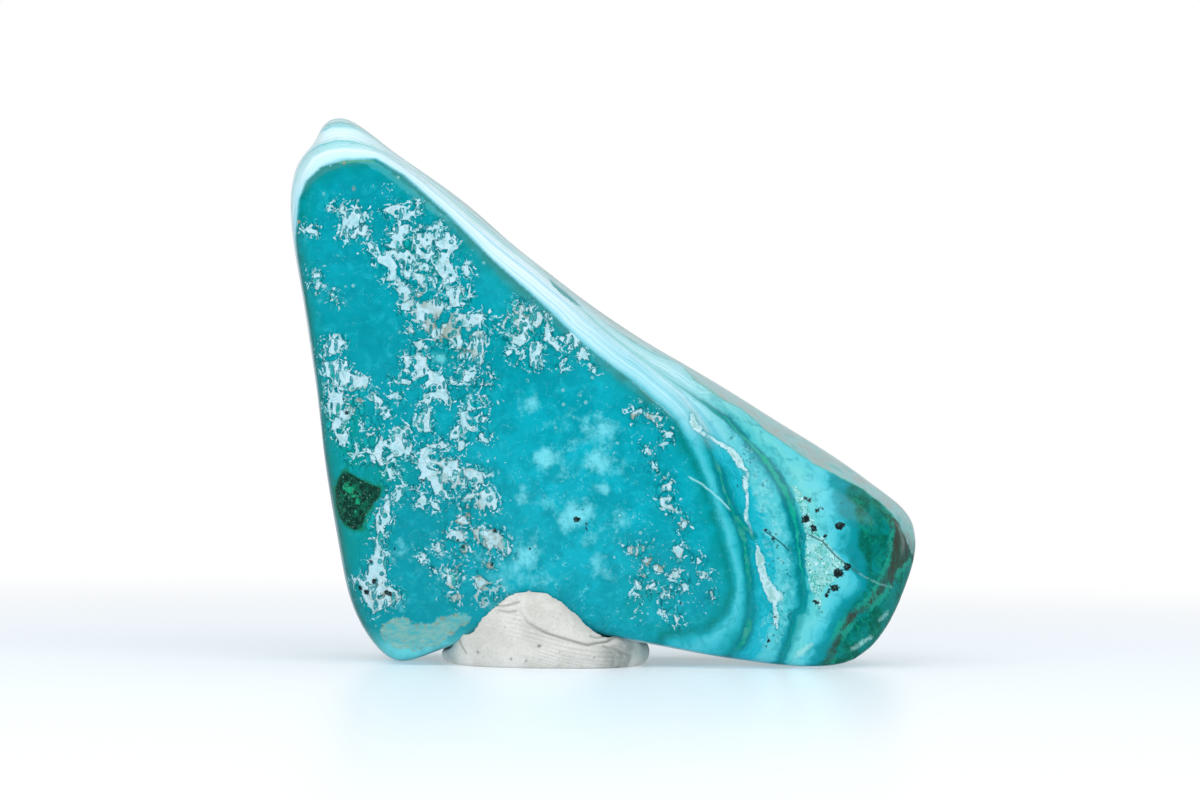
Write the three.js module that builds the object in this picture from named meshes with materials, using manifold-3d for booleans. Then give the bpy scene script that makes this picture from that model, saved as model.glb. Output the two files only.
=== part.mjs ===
// A polished free-form stone of chrysocolla and malachite, stood upright on a lump of display putty.
// Millimetres, +Z up. The broad teal face looks along -Y, and the origin is on the table, under the middle.
//
// The stone is one solid: a triangular slab with a tall rounded peak on the left and a long low end on the
// right. Its broad face is smaller than its outline. Between the two runs a belt that is steep along the top
// edge and leans back into a wide facet at the low end, where it cuts slowly through the bands of the stone.
// The putty is squeezed up in front of the stone and behind it, and the stone sits in the groove between.

import * as THREE from "three";
import { mergeVertices } from "three/addons/utils/BufferGeometryUtils.js";
import Module from "manifold-3d";

const wasm = await Module();
wasm.setup();

// Driving sizes of the stone
const faceY = -16; // depth of the broad face's edge
const faceDome = 1.5; // how far its middle swells in front of that edge
const faceMiddle = new THREE.Vector2(-8.5, 27);
const backY = 17.5;
const backMiddle = new THREE.Vector2(-5, 27);
const backTaper = 0.09; // the back comes forward by this share of the distance from its middle
const softReach = 2; // stations on either side that round the back's outline
const veinDepth = 0.22; // share of the way back from the face to the outline at which the green vein lies
const darkDepth = 0.56; // the same for the dark malachite
const faceRings = [0.3, 0.65, 0.92, 1]; // how far out from the middle of the face each of its rings lies
// The rings of the back: how far out from its middle, and how far from the outline to the back
const backRings = [
  { outward: 0.975, deep: 0.55 },
  { outward: 0.88, deep: 0.86 },
  { outward: 0.7, deep: 0.97 },
  { outward: 0.35, deep: 1 },
];

// Resolution of the skins
const columnsPerStation = 3;
const rowsPerRing = 3;
const puttyColumns = 72;
const weldDistance = 1e-4;

// Gap that keeps the putty clear of the stone
const clearance = 0.3;

// Stations round the stone, clockwise from the left shoulder as seen from the front. Each gives the edge of
// the broad face, the widest outline behind it with its depth, and how far out from the one to the other the
// skin has gone where it is as deep as the green vein and as deep as the dark malachite.
const stations = [
  { face: [-40.4, 60.7], rim: [-41.8, 61.5], depth: 0, vein: 0.75, dark: 1 },
  { face: [-39.6, 63], rim: [-41.4, 64.9], depth: 0, vein: 0.7, dark: 1 },
  { face: [-38.5, 64.7], rim: [-40.4, 67], depth: 0, vein: 0.7, dark: 1 },
  { face: [-36.8, 65.8], rim: [-38.8, 69], depth: 0, vein: 0.65, dark: 0.97 },
  { face: [-35, 66.3], rim: [-37.9, 71.3], depth: 0, vein: 0.55, dark: 0.95 },
  { face: [-33, 66.5], rim: [-35.7, 72.5], depth: 0, vein: 0.52, dark: 0.92 },
  { face: [-30, 66.3], rim: [-32.9, 71.3], depth: 0, vein: 0.45, dark: 0.9 },
  { face: [-26.4, 64.2], rim: [-27.8, 67.3], depth: 0, vein: 0.6, dark: 0.93 },
  { face: [-20.4, 59], rim: [-19.3, 61.6], depth: 0, vein: 0.67, dark: 0.9 },
  { face: [-14.6, 53.4], rim: [-12.2, 55.7], depth: 0, vein: 0.69, dark: 0.9 },
  { face: [-8.7, 48.1], rim: [-5.1, 50.1], depth: 0, vein: 0.64, dark: 0.9 },
  { face: [-2.7, 42.7], rim: [1.5, 45.2], depth: 0, vein: 0.63, dark: 0.9 },
  { face: [3.9, 37.6], rim: [9.8, 40.5], depth: 0, vein: 0.63, dark: 0.9 },
  { face: [9.6, 32.5], rim: [18.6, 35.5], depth: 0, vein: 0.62, dark: 0.88 },
  { face: [12.5, 27.1], rim: [27.7, 30], depth: 0, vein: 0.55, dark: 0.87 },
  { face: [14.4, 22.2], rim: [36.3, 24.3], depth: 0, vein: 0.46, dark: 0.88 },
  { face: [15.8, 18.2], rim: [41.4, 20.2], depth: 0, vein: 0.42, dark: 0.87 },
  { face: [17, 13.8], rim: [42.4, 15.9], depth: -1, vein: 0.4, dark: 0.85 },
  { face: [17.6, 10.4], rim: [40.3, 9.2], depth: -3, vein: 0.42, dark: 0.85 },
  { face: [16.7, 7.4], rim: [37.9, 4.5], depth: -6, vein: 0.46, dark: 0.86 },
  { face: [14.8, 5.4], rim: [34.4, 1.1], depth: -9, vein: 0.5, dark: 0.88 },
  { face: [12, 4.4], rim: [29.6, 0.1], depth: -10, vein: 0.52, dark: 0.9 },
  { face: [6.5, 4], rim: [17.6, 1], depth: -8, vein: 0.6, dark: 0.95 },
  { face: [-1, 5], rim: [5, 3.1], depth: -4, vein: 0.75, dark: 1 },
  { face: [-10.5, 5.9], rim: [-10.5, 4.6], depth: 0, vein: 0.8, dark: 1 },
  { face: [-19.6, 3.4], rim: [-21, 1.8], depth: 0, vein: 0.8, dark: 1 },
  { face: [-25.2, 1.8], rim: [-26.5, 0.12], depth: 0, vein: 0.95, dark: 1 },
  { face: [-28.4, 3.4], rim: [-29.8, 2.1], depth: 0, vein: 0.8, dark: 1 },
  { face: [-31.2, 8.5], rim: [-33, 7.4], depth: 0, vein: 0.75, dark: 1 },
  { face: [-33.3, 16.3], rim: [-34.9, 15.7], depth: 0, vein: 0.75, dark: 1 },
  { face: [-35.2, 26.8], rim: [-36.8, 26.4], depth: 0, vein: 0.75, dark: 1 },
  { face: [-36.8, 37.2], rim: [-38.2, 37], depth: 0, vein: 0.75, dark: 1 },
  { face: [-38.5, 47.7], rim: [-40, 47.6], depth: 0, vein: 0.75, dark: 1 },
  { face: [-39.8, 55.5], rim: [-41.4, 55.6], depth: 0, vein: 0.75, dark: 1 },
];

// Driving sizes of the putty lump
const puttyMiddleX = -7.4;
const puttyHalfWidth = 14;
const puttyHalfDepth = 19.5;
const puttySquareness = 2.8; // 2 would be an ellipse
const puttyBulgeZ = 1.6; // height of the widest line of its side
const puttyShelfZ = 4.1; // height of the low parts beside the lobes
const puttySideSharpness = 16; // a higher power gives a steeper side
// The rings of the putty, as shares of its footprint
const puttyTopRings = [0.25, 0.5, 0.7, 0.8, 0.86, 0.9, 0.93, 0.955, 0.975, 0.99, 1];
const puttyUnderRings = [
  { share: 0.99, z: 0.64 },
  { share: 0.95, z: 0 },
];
const lobeSharpness = 2.8;
const frontLobe = { x: -9.6, halfWidth: 7.4, height: 11.2 };
const backLobe = { x: -5.4, halfWidth: 9.4, height: 9.2 };

// A closed skin from rows of points with a point at either end.
// Each row runs anticlockwise as the first point sees it.
function skin(firstPole, rows, lastPole) {
  const around = rows[0].length;
  const points = [firstPole, ...rows.flat(), lastPole];
  const triangles = [];
  const lastRow = 1 + (rows.length - 1) * around;
  for (let i = 0; i < around; i++) {
    const next = (i + 1) % around;
    triangles.push(0, 1 + i, 1 + next);
    for (let start = 1; start < lastRow; start += around) {
      const a = start + i;
      const b = start + next;
      triangles.push(a, a + around, b, b, a + around, b + around);
    }
    triangles.push(points.length - 1, lastRow + next, lastRow + i);
  }
  const geometry = new THREE.BufferGeometry().setFromPoints(points);
  geometry.setIndex(triangles);
  return geometry;
}

// Each skin point moved out along its normal, for the hollow that the stone leaves in the putty.
function grown(geometry, distance) {
  const bigger = geometry.clone();
  bigger.computeVertexNormals();
  const position = bigger.getAttribute("position");
  const normal = bigger.getAttribute("normal");
  const point = new THREE.Vector3();
  const outward = new THREE.Vector3();
  for (let i = 0; i < position.count; i++) {
    point.fromBufferAttribute(position, i);
    outward.fromBufferAttribute(normal, i);
    point.addScaledVector(outward, distance);
    position.setXYZ(i, point.x, point.y, point.z);
  }
  bigger.deleteAttribute("normal");
  return bigger;
}

function solidFrom(geometry) {
  const merged = mergeVertices(geometry, weldDistance);
  return new wasm.Manifold(
    new wasm.Mesh({
      numProp: 3,
      vertProperties: new Float32Array(merged.getAttribute("position").array),
      triVerts: new Uint32Array(merged.index.array),
    }),
  );
}

function geometryFrom(solid) {
  const mesh = solid.getMesh();
  const geometry = new THREE.BufferGeometry();
  geometry.setAttribute("position", new THREE.BufferAttribute(mesh.vertProperties, 3));
  geometry.setIndex(new THREE.BufferAttribute(mesh.triVerts, 1));
  return geometry;
}

// How far back the stone reaches behind a place on its outline: thinner towards the peak and the low end.
function stoneBack(place) {
  return backY - backTaper * place.distanceTo(backMiddle);
}

// The rings of the stone from the broad face to the back. Each turns a station into a point of the skin.
function faceRing(outward) {
  return ({ face }) => {
    const place = faceMiddle.clone().lerp(face, outward);
    return new THREE.Vector3(place.x, faceY - faceDome * (1 - outward * outward), place.y);
  };
}

function beltRing(outwardOf, deep) {
  return (station) => {
    const place = station.face.clone().lerp(station.rim, outwardOf(station));
    return new THREE.Vector3(place.x, THREE.MathUtils.lerp(faceY, station.depth, deep), place.y);
  };
}

function backRing({ outward, deep }) {
  return ({ softRim, depth }) => {
    const place = backMiddle.clone().lerp(softRim, outward);
    return new THREE.Vector3(place.x, THREE.MathUtils.lerp(depth, stoneBack(place), deep), place.y);
  };
}

const stoneRings = [
  ...faceRings.map(faceRing),
  beltRing((station) => station.vein, veinDepth),
  beltRing((station) => station.dark, darkDepth),
  beltRing(() => 1, 1),
  ...backRings.map(backRing),
];

// The middle of a station's outline point and its neighbours', which rounds the corners off the back.
function softened(rims, i) {
  const middle = new THREE.Vector2();
  for (let step = -softReach; step <= softReach; step++) {
    middle.add(rims.at((i + step) % rims.length));
  }
  return middle.divideScalar(2 * softReach + 1);
}

function stoneGeometry() {
  const anticlockwise = stations.toReversed();
  const rims = anticlockwise.map((station) => new THREE.Vector2(...station.rim));
  const places = anticlockwise.map((station, i) => ({
    ...station,
    face: new THREE.Vector2(...station.face),
    rim: rims[i],
    softRim: softened(rims, i),
  }));
  const ringCurves = stoneRings.map(
    (ring) => new THREE.CatmullRomCurve3(places.map(ring), true, "centripetal"),
  );
  const facePole = new THREE.Vector3(faceMiddle.x, faceY - faceDome, faceMiddle.y);
  const backPole = new THREE.Vector3(backMiddle.x, backY, backMiddle.y);

  // One curve from pole to pole in each column, then the same steps along every column.
  const around = places.length * columnsPerStation;
  const steps = (stoneRings.length + 1) * rowsPerRing;
  const columns = [];
  for (let i = 0; i < around; i++) {
    const through = ringCurves.map((curve) => curve.getPoint(i / around));
    columns.push(new THREE.CatmullRomCurve3([facePole, ...through, backPole], false, "centripetal"));
  }
  const rows = [];
  for (let step = 1; step < steps; step++) {
    rows.push(columns.map((column) => column.getPoint(step / steps)));
  }
  return skin(facePole, rows, backPole);
}

// A point of the putty's footprint: a rounded rectangle, shrunk about its middle.
function footprint(angle, share) {
  const squared = (value) => Math.sign(value) * Math.abs(value) ** (2 / puttySquareness);
  return new THREE.Vector2(
    puttyMiddleX + share * puttyHalfWidth * squared(Math.cos(angle)),
    share * puttyHalfDepth * squared(Math.sin(angle)),
  );
}

function lobeHeight(lobe, x) {
  const bell = Math.exp(-(Math.abs((x - lobe.x) / lobe.halfWidth) ** lobeSharpness));
  return puttyShelfZ + (lobe.height - puttyShelfZ) * bell;
}

// Top of the putty: the lobe squeezed up in front, the one behind, and a smooth change between them.
function puttyTop(place, share) {
  const towardsBack = THREE.MathUtils.smoothstep(place.y, -puttyHalfDepth / 2, puttyHalfDepth / 2);
  const crest = THREE.MathUtils.lerp(
    lobeHeight(frontLobe, place.x),
    lobeHeight(backLobe, place.x),
    towardsBack,
  );
  return puttyBulgeZ + (crest - puttyBulgeZ) * (1 - share ** puttySideSharpness);
}

function puttyGeometry() {
  const angles = Array.from({ length: puttyColumns }, (_, i) => (2 * Math.PI * i) / puttyColumns);
  const topRows = puttyTopRings.map((share) =>
    angles.map((angle) => {
      const place = footprint(angle, share);
      return new THREE.Vector3(place.x, place.y, puttyTop(place, share));
    }),
  );
  const underRows = puttyUnderRings.map(({ share, z }) =>
    angles.map((angle) => {
      const place = footprint(angle, share);
      return new THREE.Vector3(place.x, place.y, z);
    }),
  );
  const middle = new THREE.Vector2(puttyMiddleX, 0);
  const topPole = new THREE.Vector3(middle.x, middle.y, puttyTop(middle, 0));
  const underPole = new THREE.Vector3(middle.x, middle.y, 0);
  return skin(topPole, [...topRows, ...underRows], underPole);
}

function named(name, geometry, material) {
  const mesh = new THREE.Mesh(geometry, material);
  mesh.name = name;
  return mesh;
}

const polishedStone = new THREE.MeshStandardMaterial({ color: 0x12a3ab, roughness: 0.15, metalness: 0 });
const whitePutty = new THREE.MeshStandardMaterial({ color: 0xd3d1c8, roughness: 0.85, metalness: 0 });

const stone = stoneGeometry();
const seatedPutty = solidFrom(puttyGeometry()).subtract(solidFrom(grown(stone, clearance)));

const group = new THREE.Group();
group.add(named("stone", stone, polishedStone));
group.add(named("putty", geometryFrom(seatedPutty), whitePutty));

// The origin goes under the middle of the whole object.
const middle = new THREE.Box3().setFromObject(group).getCenter(new THREE.Vector3());
for (const mesh of group.children) {
  mesh.geometry.translate(-middle.x, -middle.y, 0);
}

export default group;
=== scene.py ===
import math

import bmesh
import bpy
import numpy as np
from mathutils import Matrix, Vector


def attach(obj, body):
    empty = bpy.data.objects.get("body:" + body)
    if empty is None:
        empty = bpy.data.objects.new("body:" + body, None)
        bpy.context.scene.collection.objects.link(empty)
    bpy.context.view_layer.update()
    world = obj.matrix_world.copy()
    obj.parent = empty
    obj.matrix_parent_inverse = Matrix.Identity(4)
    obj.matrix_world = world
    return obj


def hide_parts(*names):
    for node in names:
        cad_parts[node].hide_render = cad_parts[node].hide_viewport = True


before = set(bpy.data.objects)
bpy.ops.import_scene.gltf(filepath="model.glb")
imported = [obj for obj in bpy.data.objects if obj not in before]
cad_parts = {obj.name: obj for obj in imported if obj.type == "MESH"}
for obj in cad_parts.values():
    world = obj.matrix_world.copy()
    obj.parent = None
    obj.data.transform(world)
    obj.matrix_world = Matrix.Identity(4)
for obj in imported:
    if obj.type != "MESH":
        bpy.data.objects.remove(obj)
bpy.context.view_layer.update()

# The stone. One natural piece of chrysocolla with malachite, sawn, ground to a free form and polished all over.
# It stands on edge in the putty. Its broad face is cut along one teal layer; the belt and the facet beside it
# cut across the layers behind, so their bands show there.
MM = 0.001
STONE_VOXEL = 0.6 * MM      # spacing of the stone's skin where nothing small is drawn on it
LACE_CUTS = 2               # each edge is cut this often where the lace lies, which gives 0.2 mm
MARK_CUTS = 1               # the same for the other fine marks
LACE_MARGIN = 0.5           # mm round the lace that is refined too
UNDULATION = 0.12 * MM      # how far hand polishing leaves the flats from true
PIT_DEPTH = 0.35 * MM

# Where the marks lie is read from the photograph, in its own pixels, and carried along the line of sight to the
# stone: the lens looks along +Y from VIEW_DISTANCE, level, at VIEW_HEIGHT, and is turned by VIEW_ROLL.
PHOTO_WIDTH, PHOTO_HEIGHT = 1200, 800
SENSOR_WIDTH = 36.0
LENS = 133.92
VIEW_X, VIEW_DISTANCE, VIEW_HEIGHT = -0.725 * MM, 600 * MM, 35.05 * MM
VIEW_ROLL = math.radians(0.7)
PIXELS_PER_RADIAN = LENS / SENSOR_WIDTH * PHOTO_WIDTH
MM_PER_PIXEL = VIEW_DISTANCE / MM / PIXELS_PER_RADIAN


def pixels_of(points):
    """Where points of the object, in metres, are seen in the photograph."""
    x, y, z = points[:, 0] - VIEW_X, points[:, 1] + VIEW_DISTANCE, points[:, 2] - VIEW_HEIGHT
    across, down = x / y * PIXELS_PER_RADIAN, -z / y * PIXELS_PER_RADIAN
    c, s = math.cos(VIEW_ROLL), math.sin(VIEW_ROLL)
    return np.stack([PHOTO_WIDTH / 2 + across * c - down * s, PHOTO_HEIGHT / 2 + across * s + down * c], 1)


def marks(text):
    """Outlines or lines from text: points as x,y, one mark a row. An indented row goes on with the one before."""
    rows = [row.split() for row in text.strip().replace("\n ", " ").splitlines()]
    return [np.array([[float(v) for v in pair.split(",")] for pair in row]) for row in rows]


def nearest(points, path):
    """Distance in mm of each place to a line, which side of it the place is on, and the share of the way along."""
    starts, steps = path[:-1], np.diff(path, axis=0)
    lengths = np.maximum(np.hypot(steps[:, 0], steps[:, 1]), 1e-6)
    along = np.concatenate([[0], np.cumsum(lengths)])
    best = np.full(len(points), np.inf)
    side = np.ones(len(points))
    share = np.zeros(len(points))
    for i, (start, step) in enumerate(zip(starts, steps)):
        offset = points - start
        t = np.clip(offset @ step / lengths[i] ** 2, 0, 1)
        away = offset - t[:, None] * step
        distance = np.hypot(away[:, 0], away[:, 1])
        closer = distance < best
        best[closer] = distance[closer]
        side[closer] = np.sign(step[0] * offset[closer, 1] - step[1] * offset[closer, 0])
        share[closer] = (along[i] + t[closer] * lengths[i]) / along[-1]
    return best * MM_PER_PIXEL, side, share


def inside(points, outline):
    """Signed distance in mm to a closed outline, positive inside it."""
    result = np.full(len(points), -FAR)
    margin = FAR / MM_PER_PIXEL
    low, high = outline.min(0) - margin, outline.max(0) + margin
    near = ((points > low) & (points < high)).all(1)
    if not near.any():
        return result
    places = points[near]
    distance = nearest(places, np.vstack([outline, outline[:1]]))[0]
    crossings = np.zeros(len(places), int)
    for (x0, y0), (x1, y1) in zip(outline, np.roll(outline, -1, axis=0)):
        spans = (y0 > places[:, 1]) != (y1 > places[:, 1])
        if spans.any():
            crossings += spans & (places[:, 0] < (x1 - x0) * (places[:, 1] - y0) / ((y1 - y0) or 1) + x0)
    result[near] = np.where(crossings % 2 == 1, distance, -distance)
    return result


def union(points, outlines):
    """How deep the points lie in any of the outlines, as inside() gives it."""
    return np.max([inside(points, outline) for outline in outlines], axis=0)


def discs(points, spots):
    """Signed distance in mm to round spots given as x, y and radius in pixels, positive inside."""
    result = np.full(len(points), -FAR)
    for x, y, radius in spots:
        result = np.maximum(result, (radius - np.hypot(points[:, 0] - x, points[:, 1] - y)) * MM_PER_PIXEL)
    return result


def rods(points, sticks):
    """The same for round-ended rods given as two ends and a half width."""
    result = np.full(len(points), -FAR)
    for x0, y0, x1, y1, radius in sticks:
        away = nearest(points, np.array([[x0, y0], [x1 + 1e-3, y1]]))[0]
        result = np.maximum(result, radius * MM_PER_PIXEL - away)
    return result


FAR = 3.0  # mm beyond which a mark has no say

# The teal layer that the broad face is cut along. It ends at the belt and the facet.
TEAL_FACE = marks("""
299,200 306,181 322,166 345,160 376,159 404,176 449,216 493,260 538,300 583,343 633,382 676,421 698,463 712,500
  722,530 731,565 735,590 728,613 708,631 665,638 640,700 400,700 384,656 364,634 352,600 343,560 335,520
  328,480 322,440 318,400 312,360 305,320 299,280 296,240
""")[0]

# Lace of pale quartz-rich crust with teal in its gaps.
LACE = marks("""
330,207 333,205 336,210 339,211 342,205 346,207 349,213 353,212 356,204 359,209 363,213 366,211 367,213 364,221
  357,228 362,228 365,224 368,227 366,233 367,236 362,236 358,233 354,237 352,239 349,236 346,240 345,233
  343,232 341,236 339,240 341,231 343,226 342,221 345,216 341,213 338,211
366,242 370,242 373,246 376,251 373,258 371,254 369,248
300,229 306,229 310,225 312,229 317,231 318,228 315,234 310,233 306,231
313,274 320,273 320,280 321,286 317,290 315,287 317,283 312,283 314,278
331,291 334,293 335,298 340,304 336,304 331,298
382,210 392,206 400,204 402,209 403,213 410,213 414,211 417,206 414,202 419,203 420,209 417,214 412,218 408,220
  396,219 391,214
397,226 409,224 408,232 404,237 402,243 404,248 398,250 392,248 384,246 390,244 393,240 391,236 396,233 392,229
415,229 420,224 423,227 428,225 431,227 433,221 438,221 440,228 437,233 449,232 451,240 455,250 450,253 449,262
  453,268 457,276 456,282 451,283 450,288 459,287 463,286 465,292 461,300 463,306 453,307 447,300 446,288
  441,284 436,284 430,281 424,290 420,297 410,298 404,302 401,296 397,290 400,285 397,281 386,281 387,276
  391,273 389,268 384,265 378,262 377,258 381,252 393,250 403,253 407,250 411,252 411,238
463,266 468,264 469,270 472,273 466,277 463,272
452,236 457,242 455,248 451,243
468,290 472,294 470,297
401,304 410,300 421,302 430,300 440,298 445,306 441,312 439,320 436,313 435,322 437,334 443,342 434,340 428,332
  420,326 414,316 410,311 401,310
443,323 448,324 452,314 460,314 478,314 487,315 481,322 475,325 470,328 462,326 459,332 463,340 464,348 456,350
  451,341 445,337 440,333
470,334 476,331 484,331 486,338 484,346 484,352 482,357 484,361 478,367 474,360 472,353 466,349 470,343
463,350 466,357 460,360 456,358
409,326 414,330 414,334 409,331
414,343 424,339 425,345 420,350 418,352 422,357 427,357 426,365 430,370 437,375 440,372 444,378 452,380 455,372
  458,367 463,369 470,372 477,371 476,380 475,386 468,381 462,382 452,383 446,384 446,390 448,396 453,402
  450,406 444,401 440,398 433,399 428,404 430,410 430,418 433,427 430,431 424,432 419,426 414,424 421,416
  423,408 422,403 424,397 430,393 436,392 438,386 434,382 430,385 427,388 425,383 430,379 428,374 422,376
  415,379 418,372 414,367 418,362 414,357 420,353
403,356 412,356 408,361 410,366 406,368 411,373 402,371 407,365
392,379 397,381 400,378 405,380 411,381 410,384 404,383 396,383
389,397 396,392 400,395 402,392 402,398 399,400 395,395 391,399
459,410 468,406 473,410 466,413 466,421 470,426 476,428 468,430 462,433 458,438 450,438 451,432 456,427 460,421
  459,415
478,382 484,384 490,383 487,386 480,385
464,401 469,399 470,404 466,403
488,371 494,379 490,377
481,396 487,401 485,405 480,399
480,417 487,417 483,422 479,421
325,341 330,338 335,340 343,339 345,343 341,347 338,352 332,355 323,357 326,350 326,345
324,362 348,361 347,370 351,374 360,377 369,377 368,384 365,389 358,387 352,391 345,385 340,387 335,383 331,377
  327,376 324,368
327,380 331,380 334,390 339,394 343,390 346,397 345,402 341,407 345,411 354,407 355,410 350,416 345,420 340,417
  335,414 330,411 327,405 330,398 328,390
331,426 334,431 336,437 341,441 346,436 347,431 341,428 336,427
371,391 377,396 380,398 383,402 380,405 381,410 389,411 392,418 385,418 380,415 376,405 371,399
353,398 362,400 358,403
362,421 364,424 363,429 361,426
366,433 372,434 376,432 370,436 366,436
355,446 360,450 357,459
360,449 370,448 376,451 373,455 366,452
379,434 383,441 390,439 392,433 395,428 401,425 409,427 412,433 405,436 404,441 409,443 404,450 402,456 395,456
  390,459 386,464 381,466 377,460 373,453 377,445 380,441
388,466 395,467 395,474 391,482 389,475 386,470
411,455 419,460 421,450 425,447 431,450 427,456 431,460 440,462 444,458 448,461 458,460 458,467 463,470 470,468
  480,472 488,473 482,478 484,483 477,483 479,490 474,492 476,484 470,479 466,486 458,484 452,489 453,484
  450,480 442,482 443,490 449,494 448,499 441,496 434,492 432,486 431,480 424,480 420,485 419,479 422,472
  419,468 414,463
422,444 430,445 438,444 442,441 449,443 450,447 440,449 430,447
458,441 464,441 465,448 459,451
399,486 408,487 418,485 417,491 408,489 404,493 399,500 390,505 389,513 391,520 386,525 383,535 381,540 383,550
  386,560 385,575 388,585 398,592 402,596 395,602 388,607 380,610 373,612 368,605 362,594 361,585 352,582
  354,577 361,581 364,575 369,568 370,560 374,556 375,545 371,540 378,536 376,525 376,517 380,508 386,502
  391,494
417,500 424,495 427,500 438,504 440,510 434,509 431,504 425,505 424,509 417,507
461,499 466,495 474,493 480,493 478,496 470,499
478,500 485,499 485,507 479,507
490,500 498,499 496,509 492,511 494,505
461,506 470,507 466,509
455,521 461,517 470,513 470,524 462,525
443,530 448,534 452,530 460,531 465,529 463,536 465,541 458,542 450,539 447,535
475,537 484,536 490,538 491,532 497,530 501,531 495,535 491,540 492,547 489,548 488,541 480,540
460,550 464,545 467,545 468,552 463,553
498,540 507,545 505,546
504,553 510,551 509,556 505,557
480,433 486,440 491,437 488,443 482,441
481,492 488,488 494,492 497,502 496,511 490,509 486,503 484,512 481,504
472,530 480,528 488,531 495,529 502,537 510,541 511,553 504,556 500,548 494,545 490,552 486,545 478,541
447,573 453,570 458,574 457,582 452,589 447,584
434,545 441,543 444,549 438,553
418,556 424,553 427,560 421,564
336,416 341,420 345,430 350,436 345,445 339,441 335,432 332,424
400,442 408,440 413,446 409,456 402,452
474,578 480,576 485,580 490,583 484,585 481,590 477,587
483,564 491,563 494,568 487,568
451,596 457,594 459,600 455,603 452,600
481,601 486,602 483,606
452,570 459,565 455,573 450,573
453,553 458,558 456,558
452,583 455,588 451,588
432,568 438,571 434,574
494,590 500,585 497,592
495,595 498,597 495,600
511,309 516,306 520,307 521,301 524,308 522,314 527,318 530,313 529,305 533,302 534,308 531,312 540,312 543,318
  541,324 536,328 530,331 527,330 527,338 524,345 519,345 511,343 508,337 518,336 522,332 518,327 510,322
  512,318 516,314
532,342 541,341 542,346 541,352 538,358 542,364 536,368 530,366 531,356 529,349
545,314 548,314 549,325 551,334 556,341 561,347 558,351 551,344 544,340 545,330 547,323
495,324 503,322 507,316 506,324 503,329 500,325
560,336 565,338 563,342 559,340
568,335 572,331 577,337 580,341 578,346 573,347 568,350 570,341
578,356 580,350 582,347 589,360 584,359
561,361 567,358 566,364 561,368
505,353 510,349 513,352 508,356
518,351 525,352 524,358 518,354
591,366 597,368 592,368
516,362 520,358 517,366
630,414 635,411 641,408 646,412 650,415 657,415 663,418 660,421 655,424 652,420 646,417 641,414 635,415 633,421
664,433 668,432 673,432 675,442 672,438 666,438 662,444
644,447 648,448 650,454 646,452
650,462 653,462 658,469 652,468
663,476 667,478 664,479
662,485 667,484 672,481 671,490 664,491
660,498 672,497 670,503 676,512 668,509 661,506
680,524 685,518 688,524 684,529 680,530
627,547 636,547 645,546 645,552 640,550 637,556 628,552
672,549 678,545 684,550 680,559 675,554
641,559 652,558 648,565 643,562
650,567 656,564 662,568 664,573 655,571
641,568 646,576 642,577
668,577 674,570 679,571 677,578 671,579
647,586 655,582 655,586 649,589
634,578 637,581 642,587 637,590
679,585 686,583 689,588 684,592 678,590
660,598 664,592 670,590 670,597 664,600
697,557 702,562 697,564
697,575 703,571 709,576 702,579
674,615 680,615 679,620 676,625
661,610 666,610 664,614
710,591 713,593 712,597
636,592 640,596 635,598
""")

# Teal rods and dots that grew through the lace before it closed.
LACE_RODS = [
    (396.5, 212, 396.5, 212.5, 2.4), (405, 212, 407, 212, 2.8), (394, 222, 409, 222, 2.2),
    (412, 218, 410, 250, 2.1), (414, 232, 436, 232, 1.8), (427, 233, 427, 240, 1), (437, 238, 437, 238.5, 2.4),
    (393, 256, 399, 266, 1.9), (412, 251, 413, 252, 2.9), (421, 247, 425, 252, 2), (436, 248, 440, 251, 2.2),
    (444, 251, 446, 251, 2), (422, 260, 434, 264, 2.3), (408, 269, 432, 275, 2.3), (433, 270, 441, 280, 2.2),
    (409, 257, 407, 268, 1.5), (399, 270, 405, 283, 3.2), (412, 280, 420, 290, 3.8), (415, 293, 410, 296, 1.6),
    (425, 296, 433, 292, 2.6), (440, 292, 446, 299, 3.2), (430, 283, 440, 290, 2.5), (450, 275, 450.5, 275, 2),
    (351, 232, 351, 232.5, 2.3), (346.5, 227, 346.5, 227.5, 1.4), (350, 210, 350, 211, 1.8),
    (355, 229, 366, 221, 0.9), (413, 308, 413.5, 308, 2.9), (425, 322, 425.5, 322, 1.4),
    (459, 322, 457, 327, 2.3), (481, 335, 482, 335, 1.4), (434, 386, 434.5, 386, 2.9), (456, 376, 458, 376, 3),
    (349, 385, 349.5, 385, 2.4), (344, 405, 342, 409, 1.4), (339, 431, 339.5, 431, 2.8),
    (384, 448, 390, 451, 2), (391, 452, 383, 458, 2), (388, 443, 389, 443, 1.6), (395, 462, 389, 466, 2.5),
    (455, 433, 455.5, 433, 1.9), (430, 466, 438, 468, 3.4), (446, 486, 449, 487, 4), (667, 503, 668, 503, 2.4),
    (380, 521, 380, 524, 1.6), (381, 552, 381, 556, 1.3), (379, 597, 383, 596, 1.8), (376, 604, 376.5, 604, 1),
]

# Malachite eye at the left edge, brighter at its heart.
EYE = marks("""
342,471 346,469 353,473 362,478 372,483 383,487 381,497 373,507 367,517 363,530 354,532 344,526 339,519 335,506
  334,489 337,478
""")[0]
EYE_HEART = [
    (350, 490, 4), (354, 496, 2.4), (357, 502, 3), (355, 511, 1.4), (347, 483, 1.6), (345, 488, 1.6),
    (361, 494, 1.2),
]

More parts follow.
